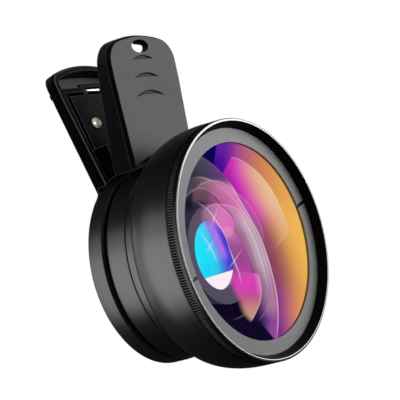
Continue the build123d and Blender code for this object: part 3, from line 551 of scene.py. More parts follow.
def make_grip_ring():
    """The knurled ring: its teeth, a plain black band, and the polished edge of the rim.

    In the knurl the radius drops between the crests. Half of each tooth is a flat crest, then
    straight flanks go down to depth, and a tenth of it is a flat foot. The drop starts and ends
    over ease at both ends of the knurl.
    """
    teeth, depth, ease = 280, 0.24, 0.1
    knurl_start, knurl_end = 24.42, 25.86
    edge_start, edge_inside = 26.70, 24.42

    def share_of_tooth(a):
        return (a * teeth / (2 * math.pi)) % 1.0

    def knurl(a, r, f):
        drop = np.clip(np.abs(share_of_tooth(a) - 0.5) * 5.0 - 1.25, 0, 1)
        zone = np.clip((f - knurl_start) / ease, 0, 1) * np.clip((knurl_end - f) / ease, 0, 1)
        return -depth * drop * zone * (r > 24.7)

    outside = [(24.75, 24.36), (24.92, 24.40), (25.0, 24.46), (25.0, 24.52), (25.0, 24.9), (25.0, 25.3),
               (25.0, 25.74), (25.0, 25.80), (25.0, 25.88), (25.0, 25.93), (25.0, 26.2), (25.0, 26.52),
               (24.99, 26.58), (24.96, 26.64)]
    edge = [(24.88, 26.70), (24.78, 26.75), (24.62, 26.80), (24.54, 26.82), (24.46, 26.83)]
    inside = [(24.40, 26.80), (24.1, 26.26), (23.8, 25.80), (23.37, 25.16), (23.42, 25.15), (24.05, 25.15),
              (24.05, 24.36)]
    profile = np.array(outside + edge + inside)
    piece = turned("grip_ring_knurled", profile, teeth * 5, ["knurl_crest", "bare_edge", "rim_inside", "knurl_black"],
                   "wide_unit", ["grip_ring"], knurl)
    middle = np.array([poly.center[:] for poly in piece.data.polygons])
    radius = np.hypot(middle[:, 0], middle[:, 2]) / MM
    forward = -middle[:, 1] / MM
    bright = (forward > edge_start) & (radius > edge_inside)
    inner = (radius < edge_inside) & (forward > 25.1)
    share = share_of_tooth(np.arctan2(middle[:, 2], middle[:, 0]))
    flank = (forward > knurl_start) & (forward < knurl_end) & (radius > 24.6) & (np.abs(share - 0.5) > 0.25)
    finish_of_face = bright * 1 + (inner & ~bright) * 2 + flank * 3
    piece.data.polygons.foreach_set("material_index", finish_of_face.astype(np.int32))


def make_close_up_skin():
    """A smooth skin on the close-up barrel: groove, rear chamfer, straight side and front chamfer."""
    outside = [(18.92, 3.98), (18.92, 4.88), (18.98, 4.92), (19.8, 4.92), (20.02, 5.14), (20.02, 9.52), (19.8, 9.74)]
    inside = [(19.2, 9.72), (19.2, 5.4), (18.6, 5.0), (18.6, 3.98)]
    turned("close_up_skin", rounded(outside + inside, 0.12, 4), 360, ["barrel_black"], "close_up_unit")


def make_ring_skin():
    """A smooth skin on the clip's ring, with its two chamfers."""
    profile = [(19.75, -0.01), (20.12, 0.3), (20.12, 3.6), (19.75, 3.92), (19.3, 3.9), (19.3, 0.02)]
    turned("ring_skin", rounded(profile, 0.14, 4), 360, ["ring_plastic"], "clip_front")


make_wide_barrel()
make_grip_ring()
make_close_up_skin()
make_ring_skin()


# Painted reflections and highlights on glass
def smooth(value, low, high):
    """0 below low, 1 above high, eased between by 3t squared minus 2t cubed."""
    t = np.clip((value - low) / (high - low), 0, 1)
    return t * t * (3 - 2 * t)


def within(value, start, full, fading, end):
    """0 before start, 1 between full and fading, 0 after end, eased between."""
    return smooth(value, start, full) * smooth(end - value, 0, end - fading)


def drawn_place(points):
    """Where points of a glass fall on a drawing 400 wide, made from the photo's side.

    points are x, forward and z in mm. Each is carried to the camera's own axes and divided by
    its distance from the camera.
    """
    placed = points * MIRROR_Y
    away = CAMERA_AWAY - placed @ np.array(BACK)
    across, above = FOCAL * (placed @ np.array(SIDE)) / away, FOCAL * (placed @ np.array(UP)) / away
    return RING_SEEN_AT[0] + across, RING_SEEN_AT[1] - above


def seen_behind(points, forward):
    """The x and z at which the sight lines through these points meet a plane further in."""
    eye = CAMERA_AWAY * np.array(BACK) * MIRROR_Y
    share = (forward - eye[1]) / (points[:, 1] - eye[1])
    return eye[0] + (points[:, 0] - eye[0]) * share, eye[2] + (points[:, 2] - eye[2]) * share


def through(value, *knots):
    """A smooth curve through given places, a cubic in each stretch with the mean slopes of its neighbours."""
    k = np.array(knots, float)
    slope = np.gradient(k[:, 1], k[:, 0])
    i = np.clip(np.searchsorted(k[:, 0], value) - 1, 0, len(k) - 2)
    h = k[i + 1, 0] - k[i, 0]
    t = np.clip((value - k[i, 0]) / h, 0, 1)
    low, high = k[i, 1], k[i + 1, 1]
    return ((2 * t**3 - 3 * t**2 + 1) * low + (t**3 - 2 * t**2 + t) * h * slope[i]
            + (3 * t**2 - 2 * t**3) * high + (t**3 - t**2) * h * slope[i + 1])


def beyond(u, v, start, stop, soft=0.4):
    """1 on the right of a line that runs up the drawing from start to stop."""
    along = np.array(stop, float) - np.array(start, float)
    along /= np.hypot(*along)
    return smooth((v - start[1]) * along[0] - (u - start[0]) * along[1], -soft, soft)


def glow(u, v, centre, reach, soft):
    """1 inside a circle, fading to 0 over a soft border."""
    return smooth(reach - np.hypot(u - centre[0], v - centre[1]), -soft, soft)


def hair(distance, width):
    """A fine line where the distance is 0."""
    return np.exp(-((distance / width) ** 2))


def spark(u, v, start, middle, stop, width):
    """An arm of a painted star highlight: a straight line, brightest at its middle, thin and dim at both ends."""
    s, m, e = (np.array(p, float) for p in (start, middle, stop))
    along = (e - s) / np.hypot(*(e - s))
    t = (u - m[0]) * along[0] + (v - m[1]) * along[1]
    off = (u - m[0]) * along[1] - (v - m[1]) * along[0]
    reach = np.where(t > 0, np.hypot(*(e - m)), np.hypot(*(m - s)))
    swell = np.clip(1 - np.abs(t) / reach, 0, 1)
    return hair(off, width * (0.55 + 0.45 * swell)) * swell**0.6


def ramp(value, *stops):
    """Colours in a row: each stop is a place, then a screen colour's red, green and blue."""
    places = [s[0] for s in stops]
    colours = np.array([linear(*s[1:]) for s in stops])
    return np.stack([np.interp(value, places, colours[:, c]) for c in range(3)], -1)


def blend_colours(first, second, share):
    """Scene light, moved by a share towards a second colour."""
    return first + (light_of(second) - first) * np.asarray(share)[..., None]


def over(below, cover, colour):
    """Lays a colour over what is below, as opaque as its cover."""
    w = np.clip(cover, 0, 1)[..., None]
    opacity = w[..., 0] + below[1] * (1 - w[..., 0])
    mixed = light_of(colour) * w + below[0] * below[1][..., None] * (1 - w)
    return mixed / np.maximum(opacity, 1e-4)[..., None], opacity


# The second glass and its tube, in mm, and how the front glass shows them: low, narrow and to one side
TUBE_RADIUS, TUBE_MOUTH, GLASS_REACH, GLASS_EDGE = 10.35, 17.6, 7.0, 16.3
CELL_DROP, GLASS_NARROW, GLASS_ASIDE = 1.05, 0.93, 0.6


def outer_band(u, v, gap):
    """Painted reflections on the coating's right side: violet at the top, orange at the right, purple at the bottom.

    gap is how far a point is to the right of the pale arc.
    """
    upper = ramp(u, (212, 62, 14, 122), (218, 84, 22, 146), (224, 104, 32, 156), (231, 134, 50, 156),
                 (238, 168, 80, 142), (246, 188, 98, 124), (256, 206, 124, 100), (266, 217, 142, 92),
                 (280, 232, 164, 86), (292, 241, 178, 86), (305, 247, 188, 90))
    shade = ramp(v, (150, 112, 40, 176), (160, 70, 16, 160), (176, 34, 6, 128))
    upper = blend_colours(upper, shade, 0.55 * smooth(232 - u, 0, 12))
    middle = ramp(gap, (0, 136, 66, 96), (8, 156, 86, 96), (15, 184, 116, 92), (24, 224, 160, 88),
                  (34, 244, 184, 90), (42, 248, 190, 90))
    lower = ramp(gap, (0, 136, 54, 150), (6, 168, 86, 132), (12, 198, 116, 116), (19, 224, 146, 98),
                 (28, 238, 166, 88), (40, 242, 174, 86))
    bottom = ramp(gap, (0, 122, 42, 152), (5, 146, 60, 148), (11, 184, 92, 132), (18, 212, 124, 106))
    right = blend_colours(blend_colours(middle, lower, smooth(v, 270, 306)), bottom, smooth(v, 312, 332))
    return blend_colours(upper, right, smooth(v, 190, 236))


def magenta_patch(u, v):
    """The second patch of painted reflection: magenta on the left, through pink to peach on the right, and mauve low
    down.
    """
    start = through(v, (150, 229), (157, 229.2), (173, 231), (185, 236), (200.5, 243), (212, 250), (223, 256.5),
                    (236, 262), (250, 266))
    past = u - start
    top = ramp(past, (-9, 166, 30, 166), (-2, 188, 42, 178), (3, 208, 60, 184), (8, 221, 88, 180),
               (14, 229, 130, 164), (20, 233, 166, 150), (27, 238, 190, 150), (36, 242, 202, 154))
    foot = ramp(past, (-2, 142, 74, 106), (6, 162, 94, 106), (13, 196, 128, 104), (21, 226, 168, 110),
                (28, 236, 184, 118))
    return blend_colours(top, foot, smooth(v, 203, 236))


def pale_arc(v, inward):
    """The broad arc of painted reflection that crosses the glass, by how far a point is to the left of its edge."""
    top = ramp(inward, (0, 120, 86, 136), (2, 104, 66, 126), (10, 98, 62, 118), (13, 82, 70, 96), (18, 74, 70, 88),
               (30, 60, 56, 78))
    corner = ramp(inward, (0, 108, 98, 118), (3, 86, 80, 98), (12, 74, 70, 88))
    top = blend_colours(corner, top, smooth(v, 163, 172))
    pink = ramp(inward, (0, 240, 158, 204), (2, 228, 134, 192), (7, 222, 124, 184), (13, 212, 112, 172),
                (19, 198, 102, 158), (26, 150, 88, 128), (34, 88, 70, 92))
    top = blend_colours(top, pink, smooth(v, 177, 190))
    middle = ramp(inward, (0, 222, 186, 206), (1.6, 190, 150, 180), (3.4, 212, 178, 196), (5.2, 192, 158, 182),
                  (8, 218, 190, 204), (11, 198, 162, 186), (15, 176, 130, 162), (18, 168, 112, 152),
                  (24, 164, 96, 150))
    lower = ramp(inward, (0, 206, 146, 172), (1.6, 176, 118, 156), (5, 178, 126, 162), (8, 172, 124, 164),
                 (11, 168, 122, 160), (15, 140, 98, 144), (20, 76, 54, 104), (26, 20, 15, 48))
    foot = ramp(inward, (0, 186, 112, 170), (2, 150, 78, 158), (8, 136, 74, 150), (13, 92, 48, 124),
                (18, 60, 30, 98))
    colour = blend_colours(blend_colours(top, middle, smooth(v, 202, 230)), lower, smooth(v, 258, 290))
    return blend_colours(colour, foot, smooth(v, 304, 322))


def front_coating_painted_reflections(points):
    """What the front glass shows: see-through layers of painted reflection and highlight, laid one over the other.

    A dark navy wash painted over the inside comes first, clear over the second glass and its cell.
    Then the painted reflections: the outer band, the magenta patch, the broad pale arc, the tan arcs
    at the upper left, the pink glow beside the second glass and the petal below it; and last fine
    arcs, streaks and star sparks, which are painted highlights.
    """
    u, v = drawn_place(points)
    arc = through(v, (150, 191), (157, 202.6), (164, 212.6), (174, 222.8), (184.4, 231.2), (197.8, 239),
                  (208.5, 245.2), (221, 252.3), (231.8, 258.2), (245.5, 264), (258.5, 268.4), (273.7, 272.6),
                  (288, 276), (302.3, 278), (318.4, 278.6), (342, 277.2))
    gap = u - arc
    right, left = smooth(gap, -0.4, 0.4), smooth(-gap, -0.4, 0.4)
    behind_x, behind_z = seen_behind(points, TUBE_MOUTH)
    cell = smooth(TUBE_RADIUS - np.hypot(behind_x, behind_z + CELL_DROP), -0.05, 0.15)
    glass_x, glass_z = seen_behind(points, GLASS_EDGE)
    glass_gap = np.hypot((glass_x + GLASS_ASIDE) / GLASS_NARROW, glass_z + CELL_DROP) - GLASS_REACH
    dark = ramp(v, (150, 14, 7, 112), (168, 14, 9, 84), (178, 14, 10, 44), (250, 22, 16, 50), (300, 15, 11, 42),
                (342, 22, 16, 56))
    layer = (dark, 0.62 * (1 - cell))

    def lay(cover, colour):
        nonlocal layer
        layer = over(layer, cover, colour)

    # Right of the pale arc
    border = beyond(u, v, (212.6, 170), (216.4, 146), 0.5)
    lay(right * border, outer_band(u, v, gap))
    outline = through(u, (226, 155.6), (231.6, 157.0), (240, 159.4), (248, 164.2), (257, 171.4), (266, 181.6),
                      (274, 193.4), (280, 205.6), (285, 218.6), (289, 232.8), (292, 246))
    below = v - outline
    left_edge = beyond(u, v, (220, 178.4), (231.4, 157.2), 0.35)
    foot_edge = beyond(-u, v, (-289.2, 232.6), (-276.0, 247.6), 0.4)
    inside = left_edge * (1 - foot_edge) * right * smooth(below, -0.3, 0.5)
    soft_foot = 1 - 0.75 * smooth(v, 226, 244) * smooth(284 - u, 0, 12)
    lay(inside * soft_foot, magenta_patch(u, v))
    shine = ramp(u, (231, 244, 120, 214), (246, 246, 160, 206), (258, 250, 212, 190))
    lay(0.62 * hair(below - 0.4, 0.6) * left_edge * (1 - foot_edge), shine)
    lay(0.35 * hair((u - 289.2) + (v - 232.6) * 0.88, 0.8) * inside * smooth(u, 275, 281), (246, 206, 160))
    second = through(v, (186, 232), (190.7, 235.2), (200.5, 245.9), (212, 253.9), (223.7, 260.1), (236, 263.7),
                     (246, 265.4))
    strip = smooth(second - u, -0.3, 0.3) * right * within(v, 188, 196, 238, 246)
    lay(0.28 * strip, (190, 120, 190))
    lay(0.4 * hair(second - u, 0.5) * right * within(v, 188, 196, 226, 240), (236, 160, 208))

    # The pale arc and its fine lines
    pink_edge = through(v, (200, 217), (206, 222.5), (212, 229.5), (222, 234.6), (231, 235.6), (240.4, 240.4),
                        (251, 245.8), (262, 250.2), (272, 253), (282, 257.5), (300, 258), (330, 246))
    wedge = smooth(322 - v, -1, 6) + beyond(u, v, (275.6, 340.6), (261.4, 323.2), 0.5) * smooth(v, 316, 322)
    reach = np.interp(-gap, [0, 10, 16, 26], [1.0, 0.96, 0.86, 0.1])
    cover = 0.93 + (reach - 0.93) * smooth(v, 262, 292)
    veil = left * cover * np.clip(wedge, 0, 1) * np.maximum(smooth(206 - v, 0, 10), smooth(u - pink_edge, -0.5, 0.8))
    lay(veil, pale_arc(v, -gap))
    fine_arcs = ((0.3, 0.6, 180, 342), (4.6, 0.3, 196, 300), (7.6, 0.35, 208, 296), (12.4, 0.3, 214, 276))
    for offset, weight, start, stop in fine_arcs:
        line = hair(-gap - offset, 0.6) * smooth(v, start, start + 14) * smooth(stop - v, 0, 20) * left
        lay(weight * line, (240, 208, 226))
    side_arc = through(v, (280, 270.5), (288, 271.4), (300.5, 269.2), (313.9, 263.9), (321, 258.6))
    lay(0.4 * hair(u - side_arc, 0.6) * within(v, 280, 288, 316, 322), (184, 128, 182))
    lay(0.3 * smooth(side_arc - u, -0.3, 0.5) * within(v, 296, 310, 318, 322) * smooth(u - 258, 0, 4), (70, 36, 116))

    # Tan arcs at the upper left
    crest = through(u, (184, 181), (191.4, 178.2), (197.6, 177.1), (204.8, 178.0), (211, 180.2), (219, 185.3),
                    (226.2, 191.6), (233.4, 198.8), (240.5, 207.6), (247.6, 218.4), (254, 230), (260, 243))
    depth = v - crest
    tan = ramp(u, (186, 62, 54, 66), (192, 84, 74, 82), (198, 106, 86, 94), (205, 140, 106, 122),
               (214, 164, 112, 142), (224, 198, 132, 176), (234, 214, 150, 192), (246, 208, 166, 192))
    fade = smooth(depth, -0.3, 0.5) * np.interp(depth, [0, 4, 9, 15], [0.8, 0.6, 0.34, 0.0]) * smooth(228 - u, 0, 12)
    lay(fade * left * smooth(-gap, 0.5, 5), tan)
    lay(0.55 * hair(depth - 0.2, 0.6) * left * within(u, 190, 208, 248, 262), (222, 190, 204))
    second_crest = through(u, (195, 189.5), (198, 186.3), (202.2, 183.3), (208.9, 181.1), (215.5, 180.6),
                           (222.2, 182.4), (228.9, 186.7), (237.8, 195.6), (248.9, 208.9))
    depth = v - second_crest
    second_fill = ramp(u, (196, 120, 94, 102), (205, 150, 110, 126), (213, 186, 118, 152), (222, 216, 128, 178),
                       (234, 230, 142, 192))
    low_side = smooth(depth, -0.3, 0.5) * smooth(12 - depth, 0, 8) * left
    lay(0.6 * low_side * within(u, 194, 200, 228, 238), second_fill)
    lay(0.5 * hair(depth - 0.2, 0.6) * left * within(u, 195, 200, 232, 246), (220, 176, 192))
    inner_crest = through(u, (185, 198), (190, 192.6), (194, 189.8), (200.3, 188.0), (206.6, 189.8), (213.7, 193.4),
                          (220, 199.6), (226, 207))
    depth = v - inner_crest
    blob = smooth(depth, -0.3, 0.5) * within(u, 190, 195, 202, 214) * smooth(16 - depth, 0, 8)
    lay(0.75 * blob, (112, 80, 96))
    lay(0.75 * smooth(depth, 0, 1) * smooth(194.5 - u, 0, 4) * smooth(216 - v, 0, 10), (24, 18, 48))
    lay(0.45 * hair(depth, 0.55) * smooth(224 - u, 0, 6), (214, 176, 186))
    shade = through(u, (203, 189), (210, 193.6), (216, 200), (221, 207))
    lay(0.5 * hair(v - shade, 1.6) * within(u, 203, 207, 215, 220), (112, 66, 98))

    # Painted pink glow and its cap
    cap = through(u, (196, 221), (199.6, 215.6), (207.3, 207.4), (218, 204.3), (229.5, 206), (240.2, 210.6),
                  (249.4, 218.2), (255, 226))
    pink_side = through(v, (198, 214), (206, 222), (212, 228.6), (219, 233.2), (226.6, 235), (233, 233))
    rose = smooth(pink_side - u, -0.4, 1.2) * smooth(u + (v - 204) * 0.35, 196, 226) * within(v, 190, 206, 234, 242)
    rosy = ramp(u, (200, 150, 84, 132), (208, 184, 96, 158), (216, 214, 104, 184), (224, 232, 104, 196),
                (233, 238, 92, 196))
    lay(0.9 * rose * smooth(glass_gap, -0.3, 0.6), rosy)
    band = smooth(pink_edge - u, -0.4, 0.6) * smooth(u, 220, 228) * within(v, 226, 236, 274, 286)
    mauve = ramp(v, (228, 214, 112, 186), (238, 196, 104, 172), (247, 168, 88, 150), (258, 158, 78, 146),
                 (268, 182, 72, 162), (280, 216, 70, 184))
    mauve = blend_colours(mauve, (190, 72, 160), 0.5 * smooth(8 - (pink_edge - u), 0, 5) * smooth(v, 240, 250))
    lay(0.93 * band * smooth(glass_gap, -0.2, 0.6), mauve)
    light = glow(u, v, (227.6, 232), 5.6, 2.4) * smooth(pink_edge - u, -0.3, 0.5)
    lay(0.5 * light * smooth(glass_gap, -0.3, 0.6), (240, 158, 214))
    lay(0.14 * smooth(v - cap, -0.3, 0.6) * smooth(238 - v, 0, 20) * smooth(u, 199, 206) * left, (250, 210, 240))
    lay(0.5 * hair(v - cap, 0.55) * within(u, 199, 206, 242, 252), (244, 184, 224))

    # Petal
    petal_right = through(v, (270, 255), (273.7, 257.6), (281, 260.2), (290, 261.5), (300.5, 260.6), (309.4, 257.5),
                          (321.4, 251.4))
    petal_left = through(v, (271, 240), (280, 232), (290, 234), (298, 238), (306, 241), (314, 244.5), (321.4, 251))
    top_line = 272.3 + np.clip(u - 249, 0, 20) * 0.17
    blossom = glow(u, v, (243, 285), 9, 6) * smooth(v, 268, 274)
    lay(0.8 * blossom * smooth(u, 229, 239), (206, 76, 180))
    leaf = smooth(petal_right - u, -0.3, 0.5) * smooth(u - petal_left, -3.5, 5.5)
    leaf = leaf * smooth(v - top_line, -0.4, 0.6) * smooth(321.6 - v, -0.3, 0.6)
    tone = ramp(v, (272, 212, 84, 182), (279, 226, 70, 188), (288, 226, 70, 186), (295, 206, 84, 160),
                (302, 204, 118, 140), (309, 206, 148, 126), (321, 206, 160, 134))
    tone = blend_colours(tone, (232, 140, 200), 0.6 * smooth(6 - (petal_right - u), 0, 4) * smooth(300 - v, 0, 14))
    lay(0.95 * leaf, tone)
    lay(0.55 * hair(petal_right - u - 0.3, 0.6) * within(v, 272, 278, 318, 322), (240, 196, 206))
    low_arc = np.hypot(u - 228.6, v - 296.2) - 23.9
    lay(0.4 * hair(low_arc, 0.5) * smooth(u, 231, 242) * smooth(v, 292, 300), (150, 132, 176))

    # Painted highlights: streaks and stars
    long_streak = through(v, (198, 193.5), (201.4, 196.5), (209, 207), (218.2, 214.2), (228.2, 221.4),
                          (241.2, 227.4), (251.1, 230.4), (261.1, 234.2), (271.8, 238.6), (282, 241), (290, 242.6))
    slant = np.interp(v, [201, 210, 225, 245, 283], [0.62, 0.72, 0.84, 0.9, 0.95])
    bright = np.interp(v, [200, 206, 216, 222, 236, 246, 258, 264, 276, 284],
                       [0, 0.45, 1, 1, 0.6, 0.5, 0.95, 0.95, 0.5, 0])
    stars = hair((u - long_streak) * slant, 0.5) * bright
    short_streak = through(v, (232, 200), (236.5, 203.2), (246.5, 210), (254, 213.8), (262.6, 217))
    bright = np.interp(v, [232, 238, 247, 256, 264], [0, 0.5, 1, 0.6, 0])
    stars = stars + hair((u - short_streak) * 0.85, 0.48) * bright
    arms = (((218.2, 204.6), (214.2, 218.2), (210.0, 229)), ((215.9, 237), (210, 246.5), (206.2, 253.4)),
            ((242.8, 248.4), (234.1, 261.1), (228.4, 269.2)))
    for start, middle, stop in arms:
        stars = stars + 0.8 * spark(u, v, start, middle, stop, 0.5)
    lay(0.82 * np.clip(stars, 0, 1), (252, 222, 248))
    return layer


def inner_coating_painted_reflections(points):
    """The second glass's coating as painted reflections: cyan on the left, violet and deep blue on the right, white
    below a slanted line.
    """
    u, v = drawn_place(points)
    seam = through(v, (216, 199), (222, 201.5), (240, 209.5), (252, 214.5), (265, 219.5), (280, 224))
    past = u - seam
    tint = ramp(past, (-14, 8, 228, 254), (-4, 14, 222, 252), (0.5, 54, 190, 246), (4, 96, 140, 236),
                (7.5, 136, 96, 226), (10.5, 118, 84, 224), (13, 84, 68, 214), (18, 62, 52, 206))
    blue = smooth(v + 0.35 * (u - 215), 254, 268)
    deep = ramp(past, (-8, 12, 214, 244), (-1, 20, 178, 232), (3, 34, 118, 222), (8, 44, 74, 214),
                (16, 58, 48, 198))
    tint = blend_colours(tint, deep, 0.85 * blue)
    beam = hair((past - 8.5) / 2.6, 1.0) * within(v, 222, 234, 250, 262)
    tint = blend_colours(tint, (184, 118, 240), 0.6 * beam)
    tint = blend_colours(tint, (120, 96, 224), 0.6 * smooth(226 - v, -3, 4) * smooth(past, 1, 5))
    white_line = 278.2 - (u - 206.3) * 0.316
    rim_shade = hair(v - white_line + 1.2, 1.0)
    tint = blend_colours(tint, (18, 60, 170), 0.4 * rim_shade * smooth(u, 212, 226))
    return blend_colours(tint, (250, 243, 249), smooth(v - white_line, -0.3, 0.5))


def paint(piece, colours, opacity):
    """Stores a glass's colours and how opaque they are, one of each for every point."""
    store = piece.data.color_attributes.new("coating_painted_reflections", "FLOAT_COLOR", "POINT")
    store.data.foreach_set("color", np.concatenate([colours, opacity[:, None]], 1).astype(np.float32).ravel())


def coated_painted_reflection_finish(name, glow_share, body_share, specular, rough, see_through):
    """Coated glass whose stored colours are painted reflections: given mostly as glow and partly as body colour, with
    a faint cloud in the gloss.
    """
    tree, shader = start_material(name)
    stored = tree.nodes.new("ShaderNodeVertexColor")
    stored.layer_name = "coating_painted_reflections"
    grain = place_group(tree, moulded_grain, Size=2200.0)
    tone = spread(tree, grain.outputs["Cloud"], 0.97, 1.03)
    for label, share in (("Emission Color", 1.0), ("Base Color", body_share)):
        scaled = tree.nodes.new("ShaderNodeVectorMath")
        scaled.operation = "SCALE"
        tree.links.new(stored.outputs["Color"], scaled.inputs[0])
        tree.links.new(times(tree, tone, share), scaled.inputs["Scale"])
        tree.links.new(scaled.outputs[0], shader.inputs[label])
    settle(shader, Emission_Strength=glow_share, Specular_IOR_Level=specular)
    tree.links.new(spread(tree, grain.outputs["Cloud"], rough, rough * 1.6), shader.inputs["Roughness"])
    if see_through:
        tree.links.new(stored.outputs["Alpha"], shader.inputs["Alpha"])


def rear_glass_finish():
    """The close-up glass seen from the phone side: dark clear glass with a blue coating."""
    tree, shader = start_material("rear_glass")
    cuts = place_group(tree, turned_lines, Lines=300.0)
    blue = mixed_colour(tree, cuts.outputs["Sweep"], (0.01, 0.02, 0.05), (0.03, 0.03, 0.09))
    tree.links.new(blue, shader.inputs["Base Color"])
    settle(shader, Roughness=0.04, Specular_IOR_Level=0.7, Coat_Weight=0.6)


# The coating's painted reflections on both glasses glow, with little body colour
coated_painted_reflection_finish("front_coated_painted_reflections", 0.88, 0.3, 0.12, 0.05, True)
coated_painted_reflection_finish("inner_coated_painted_reflections", 0.92, 0.2, 0.3, 0.08, False)
rear_glass_finish()


def make_front_glass():
    """The large front glass: a dome of cap_height on a raised rim, and a deeper hollow behind."""
    reach, rise, seat = 20.3, 1.7, 24.7
    hollow_reach, hollow_rise, hollow_seat = 18.0, 8.13, 16.5
    r = np.linspace(0, reach, 150)
    dome = np.stack([r, seat + cap_height(r, reach, rise)], 1)
    rim = np.array([(20.3, 24.66), (20.3, 23.25), (20.36, 23.2), (22.88, 23.2), (22.94, 23.14), (22.94, 16.56),
                    (22.88, 16.5), (18.0, 16.5)])
    s = np.linspace(17.6, 0, 14)
    hollow = np.stack([s, hollow_seat + cap_height(s, hollow_reach, hollow_rise)], 1)
    piece = crowned("front_glass", np.concatenate([dome, rim, hollow]), 560, ["front_coated_painted_reflections"], "wide_glass",
                    ["front_lens"])
    points = points_of(piece)
    # The coating's painted reflections, highlights and dark wash, stored for each point of the dome's front
    colours, opacity = front_coating_painted_reflections(points)
    in_front = (points[:, 1] > seat - 0.01) & (np.hypot(points[:, 0], points[:, 2]) < reach + 0.01)
    paint(piece, colours, np.where(in_front, opacity, 0.0))


def make_inner_cell():
    """The second glass and the tube that holds it, as the front glass shows them: slightly low.

    The tube leans by CELL_DROP between its root and its mouth, and the glass sits in the mouth.
    The mouth and the glass are narrowed by GLASS_NARROW and set aside by GLASS_ASIDE, with a
    weight that fades towards the tube's outside.
    """
    tube = [(TUBE_RADIUS, 13.2), (TUBE_RADIUS, TUBE_MOUTH), (7.1, 17.0), (7.1, 16.2), (8.9, 16.2), (8.9, 13.2)]
    cell = turned("inner_cell", rounded(tube, 0.12, 4), 240, ["boss_grey"], "wide_glass", ["inner_retaining_ring"])
    r = np.linspace(0, GLASS_REACH, 60)
    dome = np.stack([r, 16.25 + cap_height(r, GLASS_REACH, 0.5)], 1)
    rim = np.array([(8.8, 16.15), (8.84, 16.1), (8.84, 13.7), (8.8, 13.65), (7.0, 13.65)])
    s = np.linspace(6.8, 0, 12)
    hollow = np.stack([s, 13.65 + cap_height(s, GLASS_REACH, 0.8)], 1)
    glass = crowned("inner_glass", np.concatenate([dome, rim, hollow]), 240, ["inner_coated_painted_reflections"], "wide_glass",
                    ["inner_lens"])
    for piece in (cell, glass):
        points = points_of(piece)
        lean = smooth(points[:, 1], 13.0, 15.0)
        inside = lean * smooth(9.6 - np.hypot(points[:, 0], points[:, 2]), 0.0, 2.4)
        points[:, 0] += inside * (points[:, 0] * (GLASS_NARROW - 1) - GLASS_ASIDE)
        points[:, 2] -= CELL_DROP * lean
        place_points(piece, points * MIRROR_Y)
    points = points_of(glass)
    # The second glass's painted coating reflections, stored for each point
    paint(glass, inner_coating_painted_reflections(points), np.ones(len(points)))


make_front_glass()
make_inner_cell()


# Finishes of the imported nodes
for finish, packed in {
    "handle_black": ["front_arm"], "rear_handle_black": ["rear_arm"], "tray_black": ["spring_cover"],
    "pad_rubber": ["front_pad", "rear_pad"], "pin_steel": ["hinge_pin"], "spring_wire": ["torsion_spring"],
    "screw_nickel": ["cover_screw_1", "cover_screw_2"], "barrel_black": ["close_up_barrel"],
    "inner_black": ["close_up_retaining_ring", "front_seal", "light_baffle"],
    "ring_grey": ["front_retaining_ring"], "boss_grey": ["inner_retaining_ring"], "rear_glass": ["close_up_lens"],
}.items():
    for node in packed:
        nodes[node].data.materials.clear()
        nodes[node].data.materials.append(finishes[finish])


def paint_light_on_pocket_floor():
    """Painted light in the rear handle's pocket: the floor at its top is painted a paler grey green as a lit patch,
    and its rim gets a painted highlight as glow.

    The floor is what lies above floor_start up the handle and behind floor_depth, and faces out
    of the pocket. The rim is what lies ahead of rim_depth and faces out at a slant. All three
    are in mm from the pin, in the handle's own directions.
    """
    floor_start, floor_depth, rim_depth = 18.7, -2.3, -1.95
    tree, shader = parts_of("rear_handle_black")
    where = tree.nodes.new("ShaderNodeTexCoord")
    height = reading(tree, where.outputs["Object"], ALONG, PIN.dot(ALONG) * MM)
    depth = reading(tree, where.outputs["Object"], AHEAD, PIN.dot(AHEAD) * MM)
    facing = reading(tree, where.outputs["Normal"], AHEAD)
    high = math_node(tree, "GREATER_THAN", height, floor_start * MM)
    deep = math_node(tree, "LESS_THAN", depth, floor_depth * MM)
    floor = times(tree, times(tree, high, deep), math_node(tree, "GREATER_THAN", facing, 0.6))
    # Painted light: the top of the pocket floor is painted pale grey green as if lit
    lay_colour(tree, shader, "Base Color", floor, (0.19, 0.225, 0.21))
    near = math_node(tree, "GREATER_THAN", depth, rim_depth * MM)
    rim = times(tree, near, between(tree, facing, 0.78, 0.95))
    # Painted highlight: the pocket's rim glows faintly
    lay_colour(tree, shader, "Emission Color", rim, (0.045, 0.045, 0.044))


def paint_shade_on_front_rim():
    """Painted shade: the rounded edge round the front handle's face is painted as a thin dark line.

    It is picked out by a normal that leans away from straight ahead, above_ring mm up.
    """
    above_ring = 20.5
    tree, shader = parts_of("handle_black")
    where = tree.nodes.new("ShaderNodeTexCoord")
    facing = reading(tree, where.outputs["Normal"], (0, -1, 0))
    height = reading(tree, where.outputs["Object"], (0, 0, 1))
    above = math_node(tree, "GREATER_THAN", height, above_ring * MM)
    edge = times(tree, above, between(tree, facing, 0.45, 0.97))
    # Painted shade: near-black colour where the edge turns away from the front
    lay_colour(tree, shader, "Base Color", edge, (0.001, 0.001, 0.001))
    rough = shader.inputs["Roughness"].links[0].from_socket
    tree.links.new(math_node(tree, "MAXIMUM", rough, edge), shader.inputs["Roughness"])


paint_light_on_pocket_floor()
paint_shade_on_front_rim()


